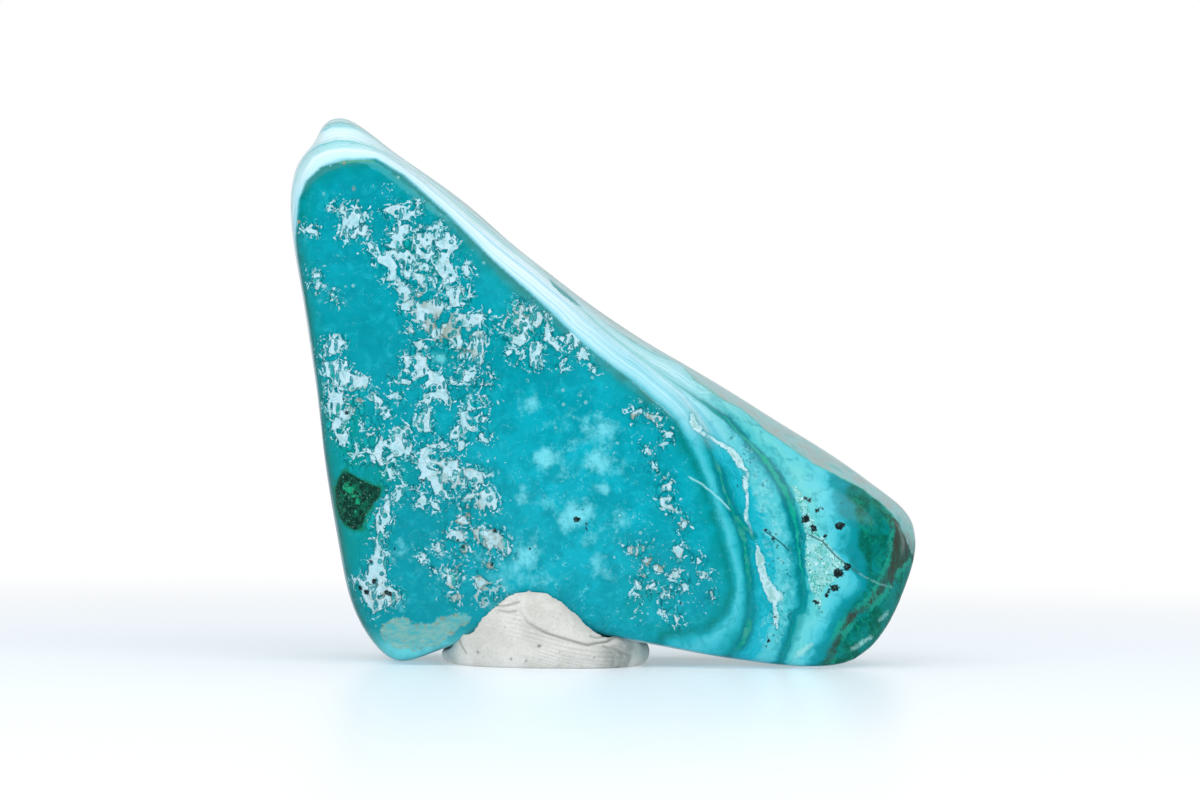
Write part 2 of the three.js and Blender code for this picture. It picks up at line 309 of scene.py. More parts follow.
# Pale cyan clouds in the teal, as x, y, how far they reach and how pale they are.
CLOUDS = [
    (547, 458, 9, 1.0), (543, 466, 7, 0.6), (597, 460, 11, 0.85), (597, 428, 12, 0.7), (612, 432, 8, 0.5),
    (528, 406, 9, 0.7), (604, 489, 6, 0.8), (524, 499, 8, 0.7), (575, 517, 11, 0.95), (566, 522, 9, 0.8),
    (585, 510, 8, 0.8), (524, 558, 16, 0.7), (508, 570, 16, 0.6), (540, 575, 14, 0.5), (619, 522, 10, 0.5),
    (600, 566, 12, 0.5), (622, 470, 9, 0.45), (562, 474, 12, 0.4), (480, 560, 10, 0.35), (430, 560, 14, 0.4),
    (400, 550, 16, 0.4), (440, 358, 5, 0.8), (445, 575, 10, 0.4), (500, 610, 14, 0.5), (395, 600, 12, 0.4),
    (640, 600, 10, 0.3), (330, 300, 14, 0.35), (560, 420, 14, 0.35), (575, 445, 10, 0.4), (590, 540, 10, 0.45),
    # The next five lie along the left foot's bottom rim and add to the painted highlight there.
    (400, 655, 9, 1.1), (415, 656, 8, 1.0), (430, 651, 7, 0.9), (389, 650, 7, 0.9), (445, 643, 6, 0.7),
    (555, 500, 10, 0.4),
]

# Where fine splinters of crust are strewn in the teal, in the same way.
STREWN = [
    (455, 570, 26, 1.0), (478, 530, 20, 0.8), (650, 560, 28, 0.85), (655, 500, 16, 0.6), (420, 470, 22, 0.6),
    (390, 190, 9, 1.0), (540, 350, 20, 0.7), (465, 400, 18, 0.8), (350, 430, 16, 0.7), (400, 420, 20, 0.5),
    (685, 600, 20, 0.7), (640, 610, 16, 0.6), (440, 240, 16, 0.7), (500, 330, 14, 0.6), (490, 400, 14, 0.6),
    (350, 250, 16, 0.5), (480, 470, 22, 0.7),
]

# Where the teal layer is lighter, and where malachite greens it between the lace.
MIDDLE = [(590, 480, 62, 1.0), (560, 560, 55, 0.8), (640, 440, 40, 0.6), (640, 590, 34, 0.5)]
INFILL = [
    (343, 424, 15, 1.0), (352, 408, 8, 0.6), (430, 262, 12, 0.8), (412, 248, 10, 0.8), (380, 470, 16, 0.8),
    (365, 525, 14, 0.8), (450, 345, 12, 0.4), (520, 330, 14, 0.5), (398, 476, 10, 0.6), (352, 455, 14, 0.9),
    (372, 440, 10, 0.6), (640, 600, 16, 0.4), (350, 545, 14, 0.5),
]

# Where iron stains the lace tan, in the same way.
TAN = [
    (478, 558, 24, 1), (470, 590, 16, 1), (440, 330, 14, 1), (465, 345, 12, 1), (640, 416, 12, 1),
    (385, 600, 10, 0.8), (660, 560, 12, 1), (520, 320, 12, 0.8), (420, 300, 8, 1), (470, 520, 14, 1),
    (680, 520, 10, 0.8), (360, 400, 10, 0.8), (640, 560, 14, 1), (455, 470, 12, 0.7),
]

# Tan crust low on the left foot.
FOOT = marks("""
380,631 392,619 405,616 412,622 430,624 440,617 455,612 470,614 474,618 462,628 447,640 436,648 420,651 400,650
  385,645
""")[0]

# The facet at the low end: where its bands run.
STRIP_EDGE = marks("""
290,174 300,150 312,137 322,128 330,124 340,122.5 350,124 360,128 372,136 392,152 415,168 440,186 470,212
  500,238 530,262 560,287 584,305 608,324 633,341 657,354 681,366 693,380 717,397 742,409 766,431 790,448
  814,465 839,477 863,490 885,507 899,524 906,540
""")[0]
VEIN_ONE = marks("""
714,456 720,474 725,492 733,511 741,527 745,546 747,565 750,590 751,606 749,620 747,633 740,646 732,655
""")[0]
BAND_ONE = np.vstack([marks("""
292,230 295,200 302,172 312,157 326,150 345,148 365,149 382,153 400,164 425,184 455,210 485,235 515,260 545,284
  580,314 615,342 650,368 682,396 704,430
""")[0], VEIN_ONE, [(726, 690)]])
VEIN_BRANCH = marks("733,513 742,524 750,532 756,541")[0]
VEIN_TWO = marks("""
291,200 297,170 306,153 318,144 336,139.5 354,141 372,147 395,158 420,175 450,199 480,224 510,248 540,272
  570,298 600,326 632,352 667,378 705,404 728,420 744,436 757,450 767,461 778,478 788,499 795,522 799,551
  802,575 805,594 802,609 793,633 783,655 770,700
""")[0]
WHITE_VEIN = marks("""
690,412 694,422 697,430 710,438 727,447 736,456 742,464 748,473 745,484 748,500 745,514 750,527 753,536
""")[0]
WHITE_BLADE = marks("""
756,541 760,549 764,560 767,575 772,584 784,596 782,600 777,600 779,614 777,632 773,624 773,606 764,592 758,575
  755,558
""")[0]
WHITE_BODIES = marks("""
725,445 733,448 739,454 744,463 749,471 745,473 740,469 735,464 731,456
743,475 746,475 749,486 746,493 743,488
""")
FACE_CRACK = marks("687,476 694,480 702,484 712,492 722,501 731,511")[0]
WHITE_KNOT = marks("690,412 694,416 698,424 703,429 700,433 693,430 689,422")[0]
WEDGE = marks("""
790,481 797,488 805,500 812,516 817,531 830,547 846,563 841,574 824,588 820,598 824,614 817,607 810,585 805,565
  807,541 802,515
""")[0]
LENS_PATCH = marks("547,276 555,281 563,288 572,297 582,307 574,303 563,295 553,286")[0]
INNER_BAND = marks("352,158 368,162 385,172 405,188 425,204 440,216 452,224")[0]
BORDER_GREEN = marks("336,162.5 345,162 358,161 369,160.5 376,162")[0]
CRACK = marks("805,533 822,541 836,556 845,563 853,569 862,575")[0]
CRACK_TAIL = marks("850,567 862,575 870,580 880,584 894,588")[0]
CRACK_TWO = marks("762,529 773,537 781,543 790,552")[0]
DARK = marks("""
838,478 850,483 846,492 853,505 856,520 857,534 858,546 862,556 866,570 866,582 862,594 850,604 845,612 843,626
  833,640 826,650 818,668 905,700 960,600 940,520 905,500 870,480 850,478
""")[0]
DARK_EDGE = marks("""
838,478 850,483 846,492 853,505 856,520 857,534 858,546 862,556 866,570 866,582 862,594 850,604 845,612 843,626
  833,640 826,650 818,668
""")[0]
BROWN = marks("""
886,509 896,516 904,520 914,540 914,556 906,566 899,572 892,582 885,594 873,606 858,616 847,630 838,645 832,662
  824,662 830,645 838,628 846,616 858,607 869,598 877,586 884,572 889,560 890,545 893,530
""")[0]
BLACK_SPOTS = [
    (806, 498, 2.6), (803, 500, 1.6), (809, 500, 1.4), (818, 510, 1.6), (822, 509, 1.1), (806, 518, 4),
    (803, 521, 1.6), (814, 529, 4), (810, 531, 1.5), (826, 536, 2.4), (839, 526, 4), (843, 524, 1.8),
    (836, 524, 1.5), (848, 552, 1.2), (821, 559, 1.5), (839, 574, 5.4), (835, 572, 2), (847, 567, 4),
    (850, 568, 2), (834, 588, 3.8), (830, 590, 1.6), (827, 596, 2.6), (829, 592, 1.2), (817, 604, 2.4),
    (819, 608, 1.8), (822, 612, 1.3), (815, 601, 1.2), (841, 504, 1), (738, 486, 1.6), (742, 484, 1.2),
    (750, 462, 1.2), (752, 463, 1), (766, 530, 1.4), (770, 533, 1.6), (773, 539, 1.3), (762, 526, 1),
    (778, 545, 1), (772, 622, 1.6), (775, 625, 1.4), (774, 618, 1), (767, 641, 1.2), (765, 645, 1),
    (575, 520, 2), (579, 519, 1.4), (586, 524, 1.5), (586, 529, 1.6), (583, 508, 1.3), (586, 504, 1),
    (530, 548, 1.6), (395, 549, 2), (397, 547, 1.2), (538, 484, 1.2), (347, 413, 2.2), (343, 399, 1),
    (422, 481, 2.4), (463, 374, 1.6), (681, 603, 1.6), (390, 594, 3), (386, 592, 1.8), (375, 592, 1.6),
    (367, 592, 1.8), (463, 547, 1.3), (457, 540, 1.5), (493, 564, 1.6), (495, 531, 1.4), (370, 562, 2),
    (372, 546, 1.8), (374, 581, 1.8), (360, 588, 1.6), (335, 437, 1.2),
]
# Pale marks at the low end, as rods: the first three are painted highlights on the malachite's rounded rim, the
# last two a streak of fibrous chrysocolla.
PALE_STREAKS_AND_GLINTS = [
    (853, 649, 862, 643, 1.7), (862, 643, 872, 637, 1.1), (880, 620, 888, 613, 1.2), (798, 655, 806, 648, 2.2),
    (806, 648, 813, 643, 1.4),
]
RUST_SPOTS = [(298, 222, 2.2), (355, 188, 2.4), (352, 190, 1.4), (320, 167, 1.4), (344, 163, 1.2)]
SPECKLES = marks("""
722,430 740,436 754,452 765,472 776,500 784,525 790,552 792,580 790,610 782,640 770,652 758,650 764,620 770,600
  772,580 766,560 762,540 758,520 754,500 752,470 740,452
""")[0]
PITTED = marks("365,580 380,578 392,586 398,594 388,603 372,606 364,594")[0]

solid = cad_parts["stone"]
quads = bmesh.new()
quads.from_mesh(solid.data)
bmesh.ops.remove_doubles(quads, verts=quads.verts, dist=0.01 * MM)
bmesh.ops.join_triangles(quads, faces=quads.faces, angle_face_threshold=math.pi, angle_shape_threshold=math.pi)
start = bpy.data.meshes.new("stone_start")
quads.to_mesh(start)
quads.free()
stone = bpy.data.objects.new("polished_stone", start)
bpy.context.collection.objects.link(stone)
smoother = stone.modifiers.new("rounding", "SUBSURF")
smoother.levels = 2


def skinned(piece, voxel):
    """The piece's surface as an even skin of small faces, ready to be worked on."""
    skin = piece.modifiers.new("skin", "REMESH")
    skin.mode, skin.voxel_size, skin.use_smooth_shade = "VOXEL", voxel, True
    shaped = bpy.data.meshes.new_from_object(piece.evaluated_get(bpy.context.evaluated_depsgraph_get()))
    piece.modifiers.clear()
    piece.data = shaped
    worked = bmesh.new()
    worked.from_mesh(shaped)
    return worked


fine = skinned(stone, STONE_VOXEL)


def smooth(verts, passes):
    """Eases these points of the skin towards their neighbours."""
    for _ in range(passes):
        bmesh.ops.smooth_vert(fine, verts=verts, factor=0.5, use_axis_x=True, use_axis_y=True, use_axis_z=True)


smooth(fine.verts, 6)


def refine(chosen, cuts):
    """Cuts the edges of the faces that chosen picks from their middles and their normals."""
    fine.faces.ensure_lookup_table()
    middles = np.array([face.calc_center_median() for face in fine.faces])
    normals = np.array([face.normal for face in fine.faces])
    picked = np.nonzero(chosen(middles, normals))[0]
    edges = {edge for i in picked for edge in fine.faces[i].edges}
    bmesh.ops.subdivide_edges(fine, edges=list(edges), cuts=cuts, use_grid_fill=True)


# The lines that need the finer skin, from where they leave the plain part of the belt.
FINE_LINES = [BAND_ONE[6:], VEIN_BRANCH, VEIN_TWO[4:], STRIP_EDGE[6:], TEAL_FACE[3:20], WHITE_VEIN, FACE_CRACK,
              CRACK, CRACK_TAIL, CRACK_TWO]


def by_lace(middles, normals):
    """The faces that carry the lace or lie close to it."""
    return (union(pixels_of(middles), LACE) > -LACE_MARGIN) & (normals[:, 1] < -0.5)


def by_marks(middles, normals):
    """The faces outside the lace that carry dots, the eye or fine lines."""
    places = pixels_of(middles)
    near = np.maximum(discs(places, BLACK_SPOTS), inside(places, EYE)) > -0.5
    near |= np.min([nearest(places, path)[0] for path in FINE_LINES], axis=0) < 0.6
    return near & (normals[:, 1] < -0.3) & (union(places, LACE) < -LACE_MARGIN)


refine(by_lace, LACE_CUTS)
refine(by_marks, MARK_CUTS)
smooth(fine.verts, 2)
fine.normal_update()
fine.to_mesh(stone.data)
fine.free()
mesh = stone.data


def surface_of(mesh):
    """A smooth mesh's points, its normals, and where the points are seen in the photograph."""
    mesh.polygons.foreach_set("use_smooth", np.ones(len(mesh.polygons), bool))
    points, normals = np.empty((len(mesh.vertices), 3)), np.empty((len(mesh.vertices), 3))
    mesh.vertices.foreach_get("co", points.reshape(-1))
    mesh.vertex_normals.foreach_get("vector", normals.reshape(-1))
    return points, normals, pixels_of(points)


points, normals, places = surface_of(mesh)


def step(value, low, high):
    """0 below low, 1 above high and smooth between."""
    t = np.clip((value - low) / (high - low), 0, 1)
    return t * t * (3 - 2 * t)


def store(name, values):
    """Keeps one number for each point of the mesh, for the material to read."""
    mesh.attributes.new(name, "FLOAT", "POINT").data.foreach_set("value", values.astype(np.float32))


# Front marks show on what faces the front and end a little way round the edge.
sight = points - np.array([VIEW_X, -VIEW_DISTANCE, VIEW_HEIGHT])
facing = -(sight * normals).sum(1) / np.linalg.norm(sight, axis=1)
store("front", step(facing, 0.02, 0.2) * (1 - step(points[:, 1], 3 * MM, 9 * MM)))

teal = inside(places, TEAL_FACE)
teal = np.where(teal <= -FAR, -FAR, teal)
store("teal_face", teal)

# Where one look gives way to another in the photograph: from and to, in pixels across (X) or down (Y).
FACET_X, FACET_Y, FACET_FROM_X = (655, 745), (395, 455), 600
STRIP_END_X = (915, 925)
WEB_X = (480, 560)
FOOT_LEVEL_Y, FOOT_MIDDLE_X, FOOT_RISE, FOOT_END_X = (636, 658), 415, 0.25, 500
VEIN_SPLIT_X, VEIN_TWO_FADE_Y, VEIN_ONE_FADE_Y, VEIN_ONE_BACK_Y = 765, (556, 596), (560, 604), (614, 626)
THIN_FROM_X, THIN_ABOVE_Y, THIN_BELOW_Y, THIN_END_Y = 690, (446, 478), (528, 550), (590, 615)
SLOPE_X, LEFT_RIM_Y, LEFT_RIM_X, LEFT_RIM_SHARE = (530, 650), (160, 215), (322, 345), 0.9
STRIP_PALE_X = (440, 610)
PEAK_X, PEAK_Y, PEAK_REACH = 330, 145, 38

low = np.maximum(step(places[:, 0], *FACET_X), step(places[:, 1], *FACET_Y) * (places[:, 0] > FACET_FROM_X))
# The belt and the facet lie between four lines: the edge of the teal face, two bands, and the far edge at the strip
# and the malachite. This runs from 0 at the first line to 3 at the last.
face_gap = np.where(teal > 0, 0, nearest(places, np.vstack([TEAL_FACE, TEAL_FACE[:1]]))[0])
strip_gap, strip_side, _ = nearest(places, STRIP_EDGE)
one_gap, one_side, _ = nearest(places, BAND_ONE)
two_gap, two_side, _ = nearest(places, VEIN_TWO)
far_gap = np.minimum(strip_gap + 2.5 * low, nearest(places, DARK_EDGE)[0])
across = np.where(
    (two_side < 0) & (one_side < 0), 2 + two_gap / (two_gap + far_gap + 0.01),
    np.where(one_side < 0, 1 + one_gap / (one_gap + two_gap + 0.01), face_gap / (face_gap + one_gap + 0.01)))
store("across", across)
store("strip", strip_gap * -strip_side * (1 - step(places[:, 0], *STRIP_END_X)))

lace = union(places, LACE)
lace = np.minimum(lace, -rods(places, LACE_RODS))
store("lace", lace)
store("eye_heart", discs(places, EYE_HEART))


def heaps(points, spots):
    """Soft round heaps given as x, y, how far they reach in pixels and how high they are."""
    return np.max([high * np.exp(-((points[:, 0] - x) ** 2 + (points[:, 1] - y) ** 2) / (2 * reach**2))
                   for x, y, reach, high in spots], axis=0)


for name, spots in (("cloud", CLOUDS), ("strewn", STREWN), ("middle", MIDDLE), ("infill", INFILL), ("tan", TAN)):
    store(name, heaps(places, spots))
store("web_zone", 1 - step(places[:, 0], *WEB_X))
foot_level = places[:, 1] + FOOT_RISE * np.abs(places[:, 0] - FOOT_MIDDLE_X)
# A painted highlight along the foot's bottom rim, following its curve up towards both ends.
store("painted_foot_highlight", step(foot_level, *FOOT_LEVEL_Y) * (places[:, 0] < FOOT_END_X))
store("black", discs(places, BLACK_SPOTS))
# Pale streaks, and painted highlights on the malachite's rounded rim.
store("pale_streaks_and_glints", rods(places, PALE_STREAKS_AND_GLINTS))
store("rust", discs(places, RUST_SPOTS))


def store_line(name, path, half_width):
    """A line as its signed offset over its half width, and how much of it there is, fading at both ends."""
    distance, side, share = nearest(places, path)
    taper = step(share, 0, 0.08) * (1 - step(share, 0.92, 1))
    store(name, distance * side / half_width)
    store(name + "_strength", taper * (distance < 4 * half_width + 0.6))


LINES = [  # name, where it runs, its half width in mm
    ("vein_one", VEIN_ONE, 0.42), ("vein_branch", VEIN_BRANCH, 0.3), ("vein_two", VEIN_TWO, 0.42),
    ("white_vein", WHITE_VEIN, 0.2), ("crack", CRACK, 0.1), ("crack_tail", CRACK_TAIL, 0.12),
    ("crack_two", CRACK_TWO, 0.1), ("face_crack", FACE_CRACK, 0.13), ("inner_band", INNER_BAND, 0.35),
    ("border_green", BORDER_GREEN, 0.17),
]
for name, path, half_width in LINES:
    store_line(name, path, half_width)
for name, outline in (("lens", LENS_PATCH), ("wedge", WEDGE), ("dark", DARK), ("brown", BROWN),
                      ("speckles", SPECKLES), ("eye", EYE), ("foot", FOOT)):
    store(name, inside(places, outline))
store("white_blade", union(places, [WHITE_BLADE, WHITE_KNOT, *WHITE_BODIES]))
fade_two = step(places[:, 1], *VEIN_TWO_FADE_Y) * (places[:, 0] > VEIN_SPLIT_X)
fade_one = step(places[:, 1], *VEIN_ONE_FADE_Y) * (1 - step(places[:, 1], *VEIN_ONE_BACK_Y))
store("vein_fade", np.maximum(fade_two, fade_one * (places[:, 0] < VEIN_SPLIT_X)))
store("low_end", low)
thin = step(places[:, 1], *THIN_BELOW_Y) * (1 - step(places[:, 1], *THIN_END_Y))
thin = np.maximum(1 - step(places[:, 1], *THIN_ABOVE_Y), thin)
store("vein_thin", thin * (places[:, 0] > THIN_FROM_X))
left_rim = LEFT_RIM_SHARE * step(places[:, 1], *LEFT_RIM_Y) * (1 - step(places[:, 0], *LEFT_RIM_X))
store("slope", np.maximum(step(places[:, 0], *SLOPE_X), left_rim))
store("strip_pale", 1 - step(places[:, 0], *STRIP_PALE_X))
store("peak", heaps(places, [(PEAK_X, PEAK_Y, PEAK_REACH, 1)]))
pitted = step(inside(places, PITTED), -0.4, 0.6) * (facing > 0)
store("pitted", pitted)


def wave_sum(points, spans, seed):
    """A smooth lumpy field of about -1 to 1: slow waves of these lengths in mm, in drawn directions."""
    draw = np.random.default_rng(seed)
    field = np.zeros(len(points))
    for span in spans:
        direction = draw.normal(size=3)
        direction /= np.linalg.norm(direction)
        field += np.sin(points @ direction / MM * (2 * math.pi / span) + draw.uniform(0, 2 * math.pi))
    return field / len(spans)


lumps = wave_sum(points, [31, 24, 19, 16, 13, 11], seed=4)
cavities = np.maximum(wave_sum(points, [1.9, 1.6, 1.3, 1.5, 1.1], seed=7) - 0.25, 0)
moved = points + normals * (UNDULATION * lumps - PIT_DEPTH * pitted * cavities)[:, None]
mesh.vertices.foreach_set("co", moved.ravel())
mesh.update()


def paint(code):
    """An sRGB hex colour as linear numbers."""
    values = [int(code[i : i + 2], 16) / 255 for i in (1, 3, 5)]
    return tuple(v / 12.92 if v <= 0.04045 else ((v + 0.055) / 1.055) ** 2.4 for v in values) + (1.0,)


def add(kind, *inputs, out=None, stops=(), **named):
    """A node with its settings and links; gives the output named by out, or else the first one in use.

    Its sockets take numbers, hex colours or other nodes' outputs: the first ones in their order, others by a name
    with a capital. Names in small letters are settings. The stops of a colour ramp run from 0 to BELT_LINES.
    """
    node = tree.nodes.new("ShaderNode" + kind)
    for name, value in named.items():
        if name[0].islower():
            setattr(node, name, value)
    sockets = list(zip([socket for socket in node.inputs if socket.enabled], inputs))
    sockets += [(node.inputs[name.replace("_", " ")], value) for name, value in named.items() if name[0].isupper()]
    for socket, value in sockets:
        if isinstance(value, bpy.types.NodeSocket):
            tree.links.new(value, socket)
        else:
            socket.default_value = paint(value) if isinstance(value, str) else value
    if stops:
        elements = node.color_ramp.elements
        elements.remove(elements[1])
        elements[0].position, elements[0].color = stops[0][0] / BELT_LINES, paint(stops[0][1])
        for position, code in stops[1:]:
            elements.new(position / BELT_LINES).color = paint(code)
    outputs = [output for output in node.outputs if output.enabled]
    return node.outputs[out] if out else outputs[0] if outputs else None


# Sockets in order: MapRange has a value, its low and high, and what they become; TexNoise has a place, a scale,
# detail and roughness; TexVoronoi has a place and a scale.
SMOOTH = {"interpolation_type": "SMOOTHSTEP"}     # a MapRange that eases in and out
PLUS, MINUS, TIMES, OVER, LESSER, GREATER, SIZE = (
    {"operation": name} for name in ("ADD", "SUBTRACT", "MULTIPLY", "DIVIDE", "MINIMUM", "MAXIMUM", "ABSOLUTE"))
BELT_LINES = 3.0                                  # the lines across the belt are 0, 1, 2 and 3


def emptied(block):
    """A material's or a world's node tree, with nothing in it."""
    block.use_nodes = True
    block.node_tree.nodes.clear()
    return block.node_tree


# Polished chrysocolla: a hard, slightly glassy teal silicate. Polishing leaves a clear wet gloss over flat colour.
polished = bpy.data.materials.new("polished_chrysocolla_and_malachite")
tree = emptied(polished)
place = add("TexCoord", out="Object")
# Patterns are sized in mm by their lumps: PER_METRE / 9 makes them 9 mm across. The stone's finest grain, under
# 0.1 mm, is drawn at 0.22 to 0.35 mm, the least that shows.
PER_METRE = 1000.0
drawn = {mark.name: add("Attribute", attribute_name=mark.name, out="Fac")
         for mark in mesh.attributes if mark.data_type == "FLOAT"}  # what store() kept in the mesh


def patches(span, low, high, least=0, most=1, detail=3, rough=0.55, bent=0):
    """Soft-edged patches of noise about span mm across: least outside them and most inside."""
    field = add("TexNoise", place, PER_METRE / span, detail, rough, Distortion=bent)
    return add("MapRange", field, low, high, least, most, **SMOOTH)


def near(value, far, close, middle=0, most=1):
    """A soft line where value is about middle: 0 from far off, and most from as close as close says."""
    off = add("Math", value, middle, **MINUS) if middle else value
    return add("MapRange", add("Math", off, **SIZE), far, close, 0, most, **SMOOTH)


def layered(colour, *layers):
    """A colour with others laid over it in turn, each given with the shares that are multiplied for it."""
    for tint, share, *others in layers:
        for other in others:
            share = add("Math", share, other, **TIMES)
        colour = add("Mix", share, colour, tint, data_type="RGBA")
    return colour


def edge(value, jag, soft=0.05):
    """A crisp edge where value passes 0, made ragged by jag."""
    return add("MapRange", add("Math", value, jag, **PLUS), -soft, soft, **SMOOTH)


def lined(name, soft=0.35, jag=None):
    """A line: 1 on it and 0 beside it."""
    off = drawn[name]
    if jag is not None:
        off = add("Math", off, jag, **PLUS)
    return add("Math", near(off, 1 + soft, 1 - soft), drawn[name + "_strength"], **TIMES)


front = drawn["front"]
teal_field = drawn["teal_face"]
broad = add("TexNoise", place, PER_METRE / 9, 4, 0.55)
middling = add("TexNoise", place, PER_METRE / 3.2, 5, 0.6)
small = add("TexNoise", place, PER_METRE / 1.1, 4, 0.6)
tiny = add("TexNoise", place, PER_METRE / 0.35, 2, 0.55)
jag_small = add("MapRange", small, 0.3, 0.7, -0.16, 0.16)
jag_tiny = add("MapRange", tiny, 0.3, 0.7, -0.12, 0.12)
jag = add("Math", jag_small, jag_tiny, **PLUS)

# The teal face: deep near its edge and round the lace, with pale clouds and fine curls.
teal_colour = layered("#018F9D",
    ("#039CAC", add("MapRange", broad, 0.35, 0.65, **SMOOTH)),
    ("#0BB0C4", drawn["middle"], add("MapRange", broad, 0.3, 0.6, 0.5, 1, **SMOOTH)),
    ("#028C9A", add("MapRange", middling, 0.42, 0.66, 0, 0.7, **SMOOTH)),
    ("#1DB2C2", patches(1.7, 0.5, 0.68, 0, 0.45, detail=5, rough=0.65, bent=0.8)))
lobes = add("TexVoronoi",
    add("VectorMath", place,
        add("VectorMath", add("TexNoise", place, PER_METRE / 3.0, out="Color"), Scale=0.0016,
            operation="SCALE"), **PLUS), PER_METRE / 2.6, Detail=1.0, feature="SMOOTH_F1")
teal_colour = layered(teal_colour, ("#027482", near(lobes, 0.14, 0.0, middle=0.42, most=0.22)))
near_edge = add("Math", add("MapRange", teal_field, 3.4, 0.3, **SMOOTH),
    add("MapRange", middling, 0.35, 0.6, 0.4, 1, **SMOOTH), **TIMES)
teal_colour = layered(teal_colour,
    ("#018C8C", near_edge, 0.85),
    ("#00726E", add("MapRange", teal_field, 1.5, 0.1, **SMOOTH), 0.75,
        add("MapRange", middling, 0.35, 0.55, 0.4, 1, **SMOOTH)))

# Puffs of pale cyan, and the fine curls and swirls that growth left in the layer.
puffs = add("MapRange", add("TexNoise", place, PER_METRE / 1.5, 5, 0.65), 0.3, 0.7, 0.34, -0.34)
clouded = add("MapRange", add("Math", drawn["cloud"], puffs, **PLUS), 0.2, 1.0, 0, 0.95, **SMOOTH)
teal_colour = layered(teal_colour, ("#74D6E2", clouded))
curl = near(add("TexNoise", place, PER_METRE / 2.4, 2, 0.55, Distortion=1.4), 0.016, 0.0, middle=0.5)
curl = add("Math", curl, patches(1.1, 0.5, 0.6), **TIMES)
teal_colour = layered(teal_colour,
    ("#63C9D6", curl, add("Math", add("Math", drawn["middle"], 0.7, **TIMES), 0.15, **PLUS)))
swirl = near(add("TexNoise", place, PER_METRE / 2.0, 3, 0.55, Distortion=1.6), 0.022, 0.0, middle=0.47)
teal_colour = layered(teal_colour, ("#017F8C", swirl, patches(1.3, 0.46, 0.6, 0, 0.5)))

# A thin pale band inside its upper edge, a green line along the edge, and rust specks.
off = add("Math", add("Math", drawn["inner_band"], add("MapRange", small, 0.3, 0.7, -0.4, 0.4), **PLUS), **SIZE)
teal_colour = layered(teal_colour,
    ("#4AB0B8", add("MapRange", off, 1.6, 0.6, **SMOOTH), 0.45, drawn["inner_band_strength"]))
off = add("Math", add("Math", drawn["border_green"], add("MapRange", small, 0.3, 0.7, -0.4, 0.4), **PLUS),
    **SIZE)
teal_colour = layered(teal_colour,
    ("#3F9A78", add("MapRange", off, 1.4, 0.4, **SMOOTH), 0.8, drawn["border_green_strength"]),
    ("#B98A5E", add("MapRange", drawn["rust"], -0.15, 0.12, **SMOOTH), 0.8))

# The lace: pale crust with tan veils, and a dark teal seam round it.
lace_field = drawn["lace"]
seam = add("Math",
    near(add("Math", lace_field, add("Math", add("Math", jag, 0.55, **TIMES), 0.1, **PLUS), **PLUS), 0.2, 0.04),
    0.62, **TIMES)
teal_colour = layered(teal_colour,
    ("#02878E", add("MapRange", lace_field, -1.6, -0.1, 0, 0.4, **SMOOTH)),
    ("#008C80", drawn["infill"], add("MapRange", small, 0.35, 0.6, 0.4, 1, **SMOOTH)))
face_colour = layered(teal_colour, ("#01707A", seam))
crust = layered("#BCDCE6", ("#9CCFD9", patches(0.9, 0.35, 0.7, detail=4)))
veil = near(add("TexNoise", place, PER_METRE / 1.5, 3, 0.55, Distortion=0.8), 0.04, 0.0, middle=0.52)
crust = layered(crust, ("#86A09C", veil, 0.45))
rim = add("Math", near(lace_field, 0.1, 0.02), add("MapRange", middling, 0.4, 0.6, **SMOOTH), **TIMES)
crust = layered(crust,
    ("#6E8F8C", rim, 0.45),
    ("#8E9A8E", drawn["tan"], add("MapRange", small, 0.44, 0.58, **SMOOTH)),
    ("#66695A", drawn["tan"], near(add("Math", lace_field, jag_tiny, **PLUS), 0.14, 0.03), 0.8))


def stretched(turn, span, stretch):
    """Voronoi distances whose cells are stretched along a direction in the face, as the rods lie."""
    laid = add("Mapping", Vector=place, Rotation=(0, math.radians(turn), 0), Scale=(1, 0.3, stretch))
    return add("TexVoronoi", laid, PER_METRE / span)


# Rods and dots of teal in the crust, and splinters of crust in the teal near it.
holes = add("Math", stretched(38, 0.95, 0.35), stretched(-50, 1.05, 0.35), **LESSER)
holes = add("Math", holes, add("Math", stretched(0, 1.3, 1.0), 0.03, **PLUS), **LESSER)
holes = add("Math", holes, add("MapRange", tiny, 0.3, 0.7, -0.03, 0.03), **PLUS)
holed = add("MapRange", holes, 0.33, 0.29, **SMOOTH)
splinters = add("TexNoise", place, PER_METRE / 0.9, 3, 0.7, Distortion=1.4)
splinters = add("Math", splinters,
    add("MapRange",
        add("Math", add("Math", drawn["strewn"], 0.95, **TIMES), add("MapRange", lace_field, -2.2, -0.1, 0, 1),
            **GREATER), 0, 1, -0.16, 0.015), **PLUS)
splintered = add("MapRange", splinters, 0.57, 0.595, **SMOOTH)
# Thin threads of crust that join the lace's patches.
bent = add("VectorMath", place,
    add("VectorMath", add("TexNoise", place, PER_METRE / 1.6, 3.0, out="Color"), Scale=0.0014,
        operation="SCALE"), **PLUS)
web = add("TexVoronoi", bent, PER_METRE / 2.3, feature="DISTANCE_TO_EDGE")
web = add("Math", web, add("MapRange", small, 0.3, 0.7, -0.05, 0.07), **PLUS)
webbed = add("Math", add("Math", add("MapRange", web, 0.03, 0.015, **SMOOTH), drawn["web_zone"], **TIMES),
    add("Math", add("MapRange", lace_field, -1.0, -0.25, **SMOOTH),
        add("MapRange", middling, 0.46, 0.52, **SMOOTH), **TIMES), **TIMES)
splintered = add("Math", splintered, webbed, **GREATER)
lace_mask = add("Math",
    add("Math", edge(lace_field, add("Math", jag, 0.55, **TIMES)),
        add("Math", 1.0, add("Math", holed, 0.9, **TIMES), **MINUS), **TIMES), splintered, **GREATER)
face_colour = layered(face_colour, (crust, lace_mask))
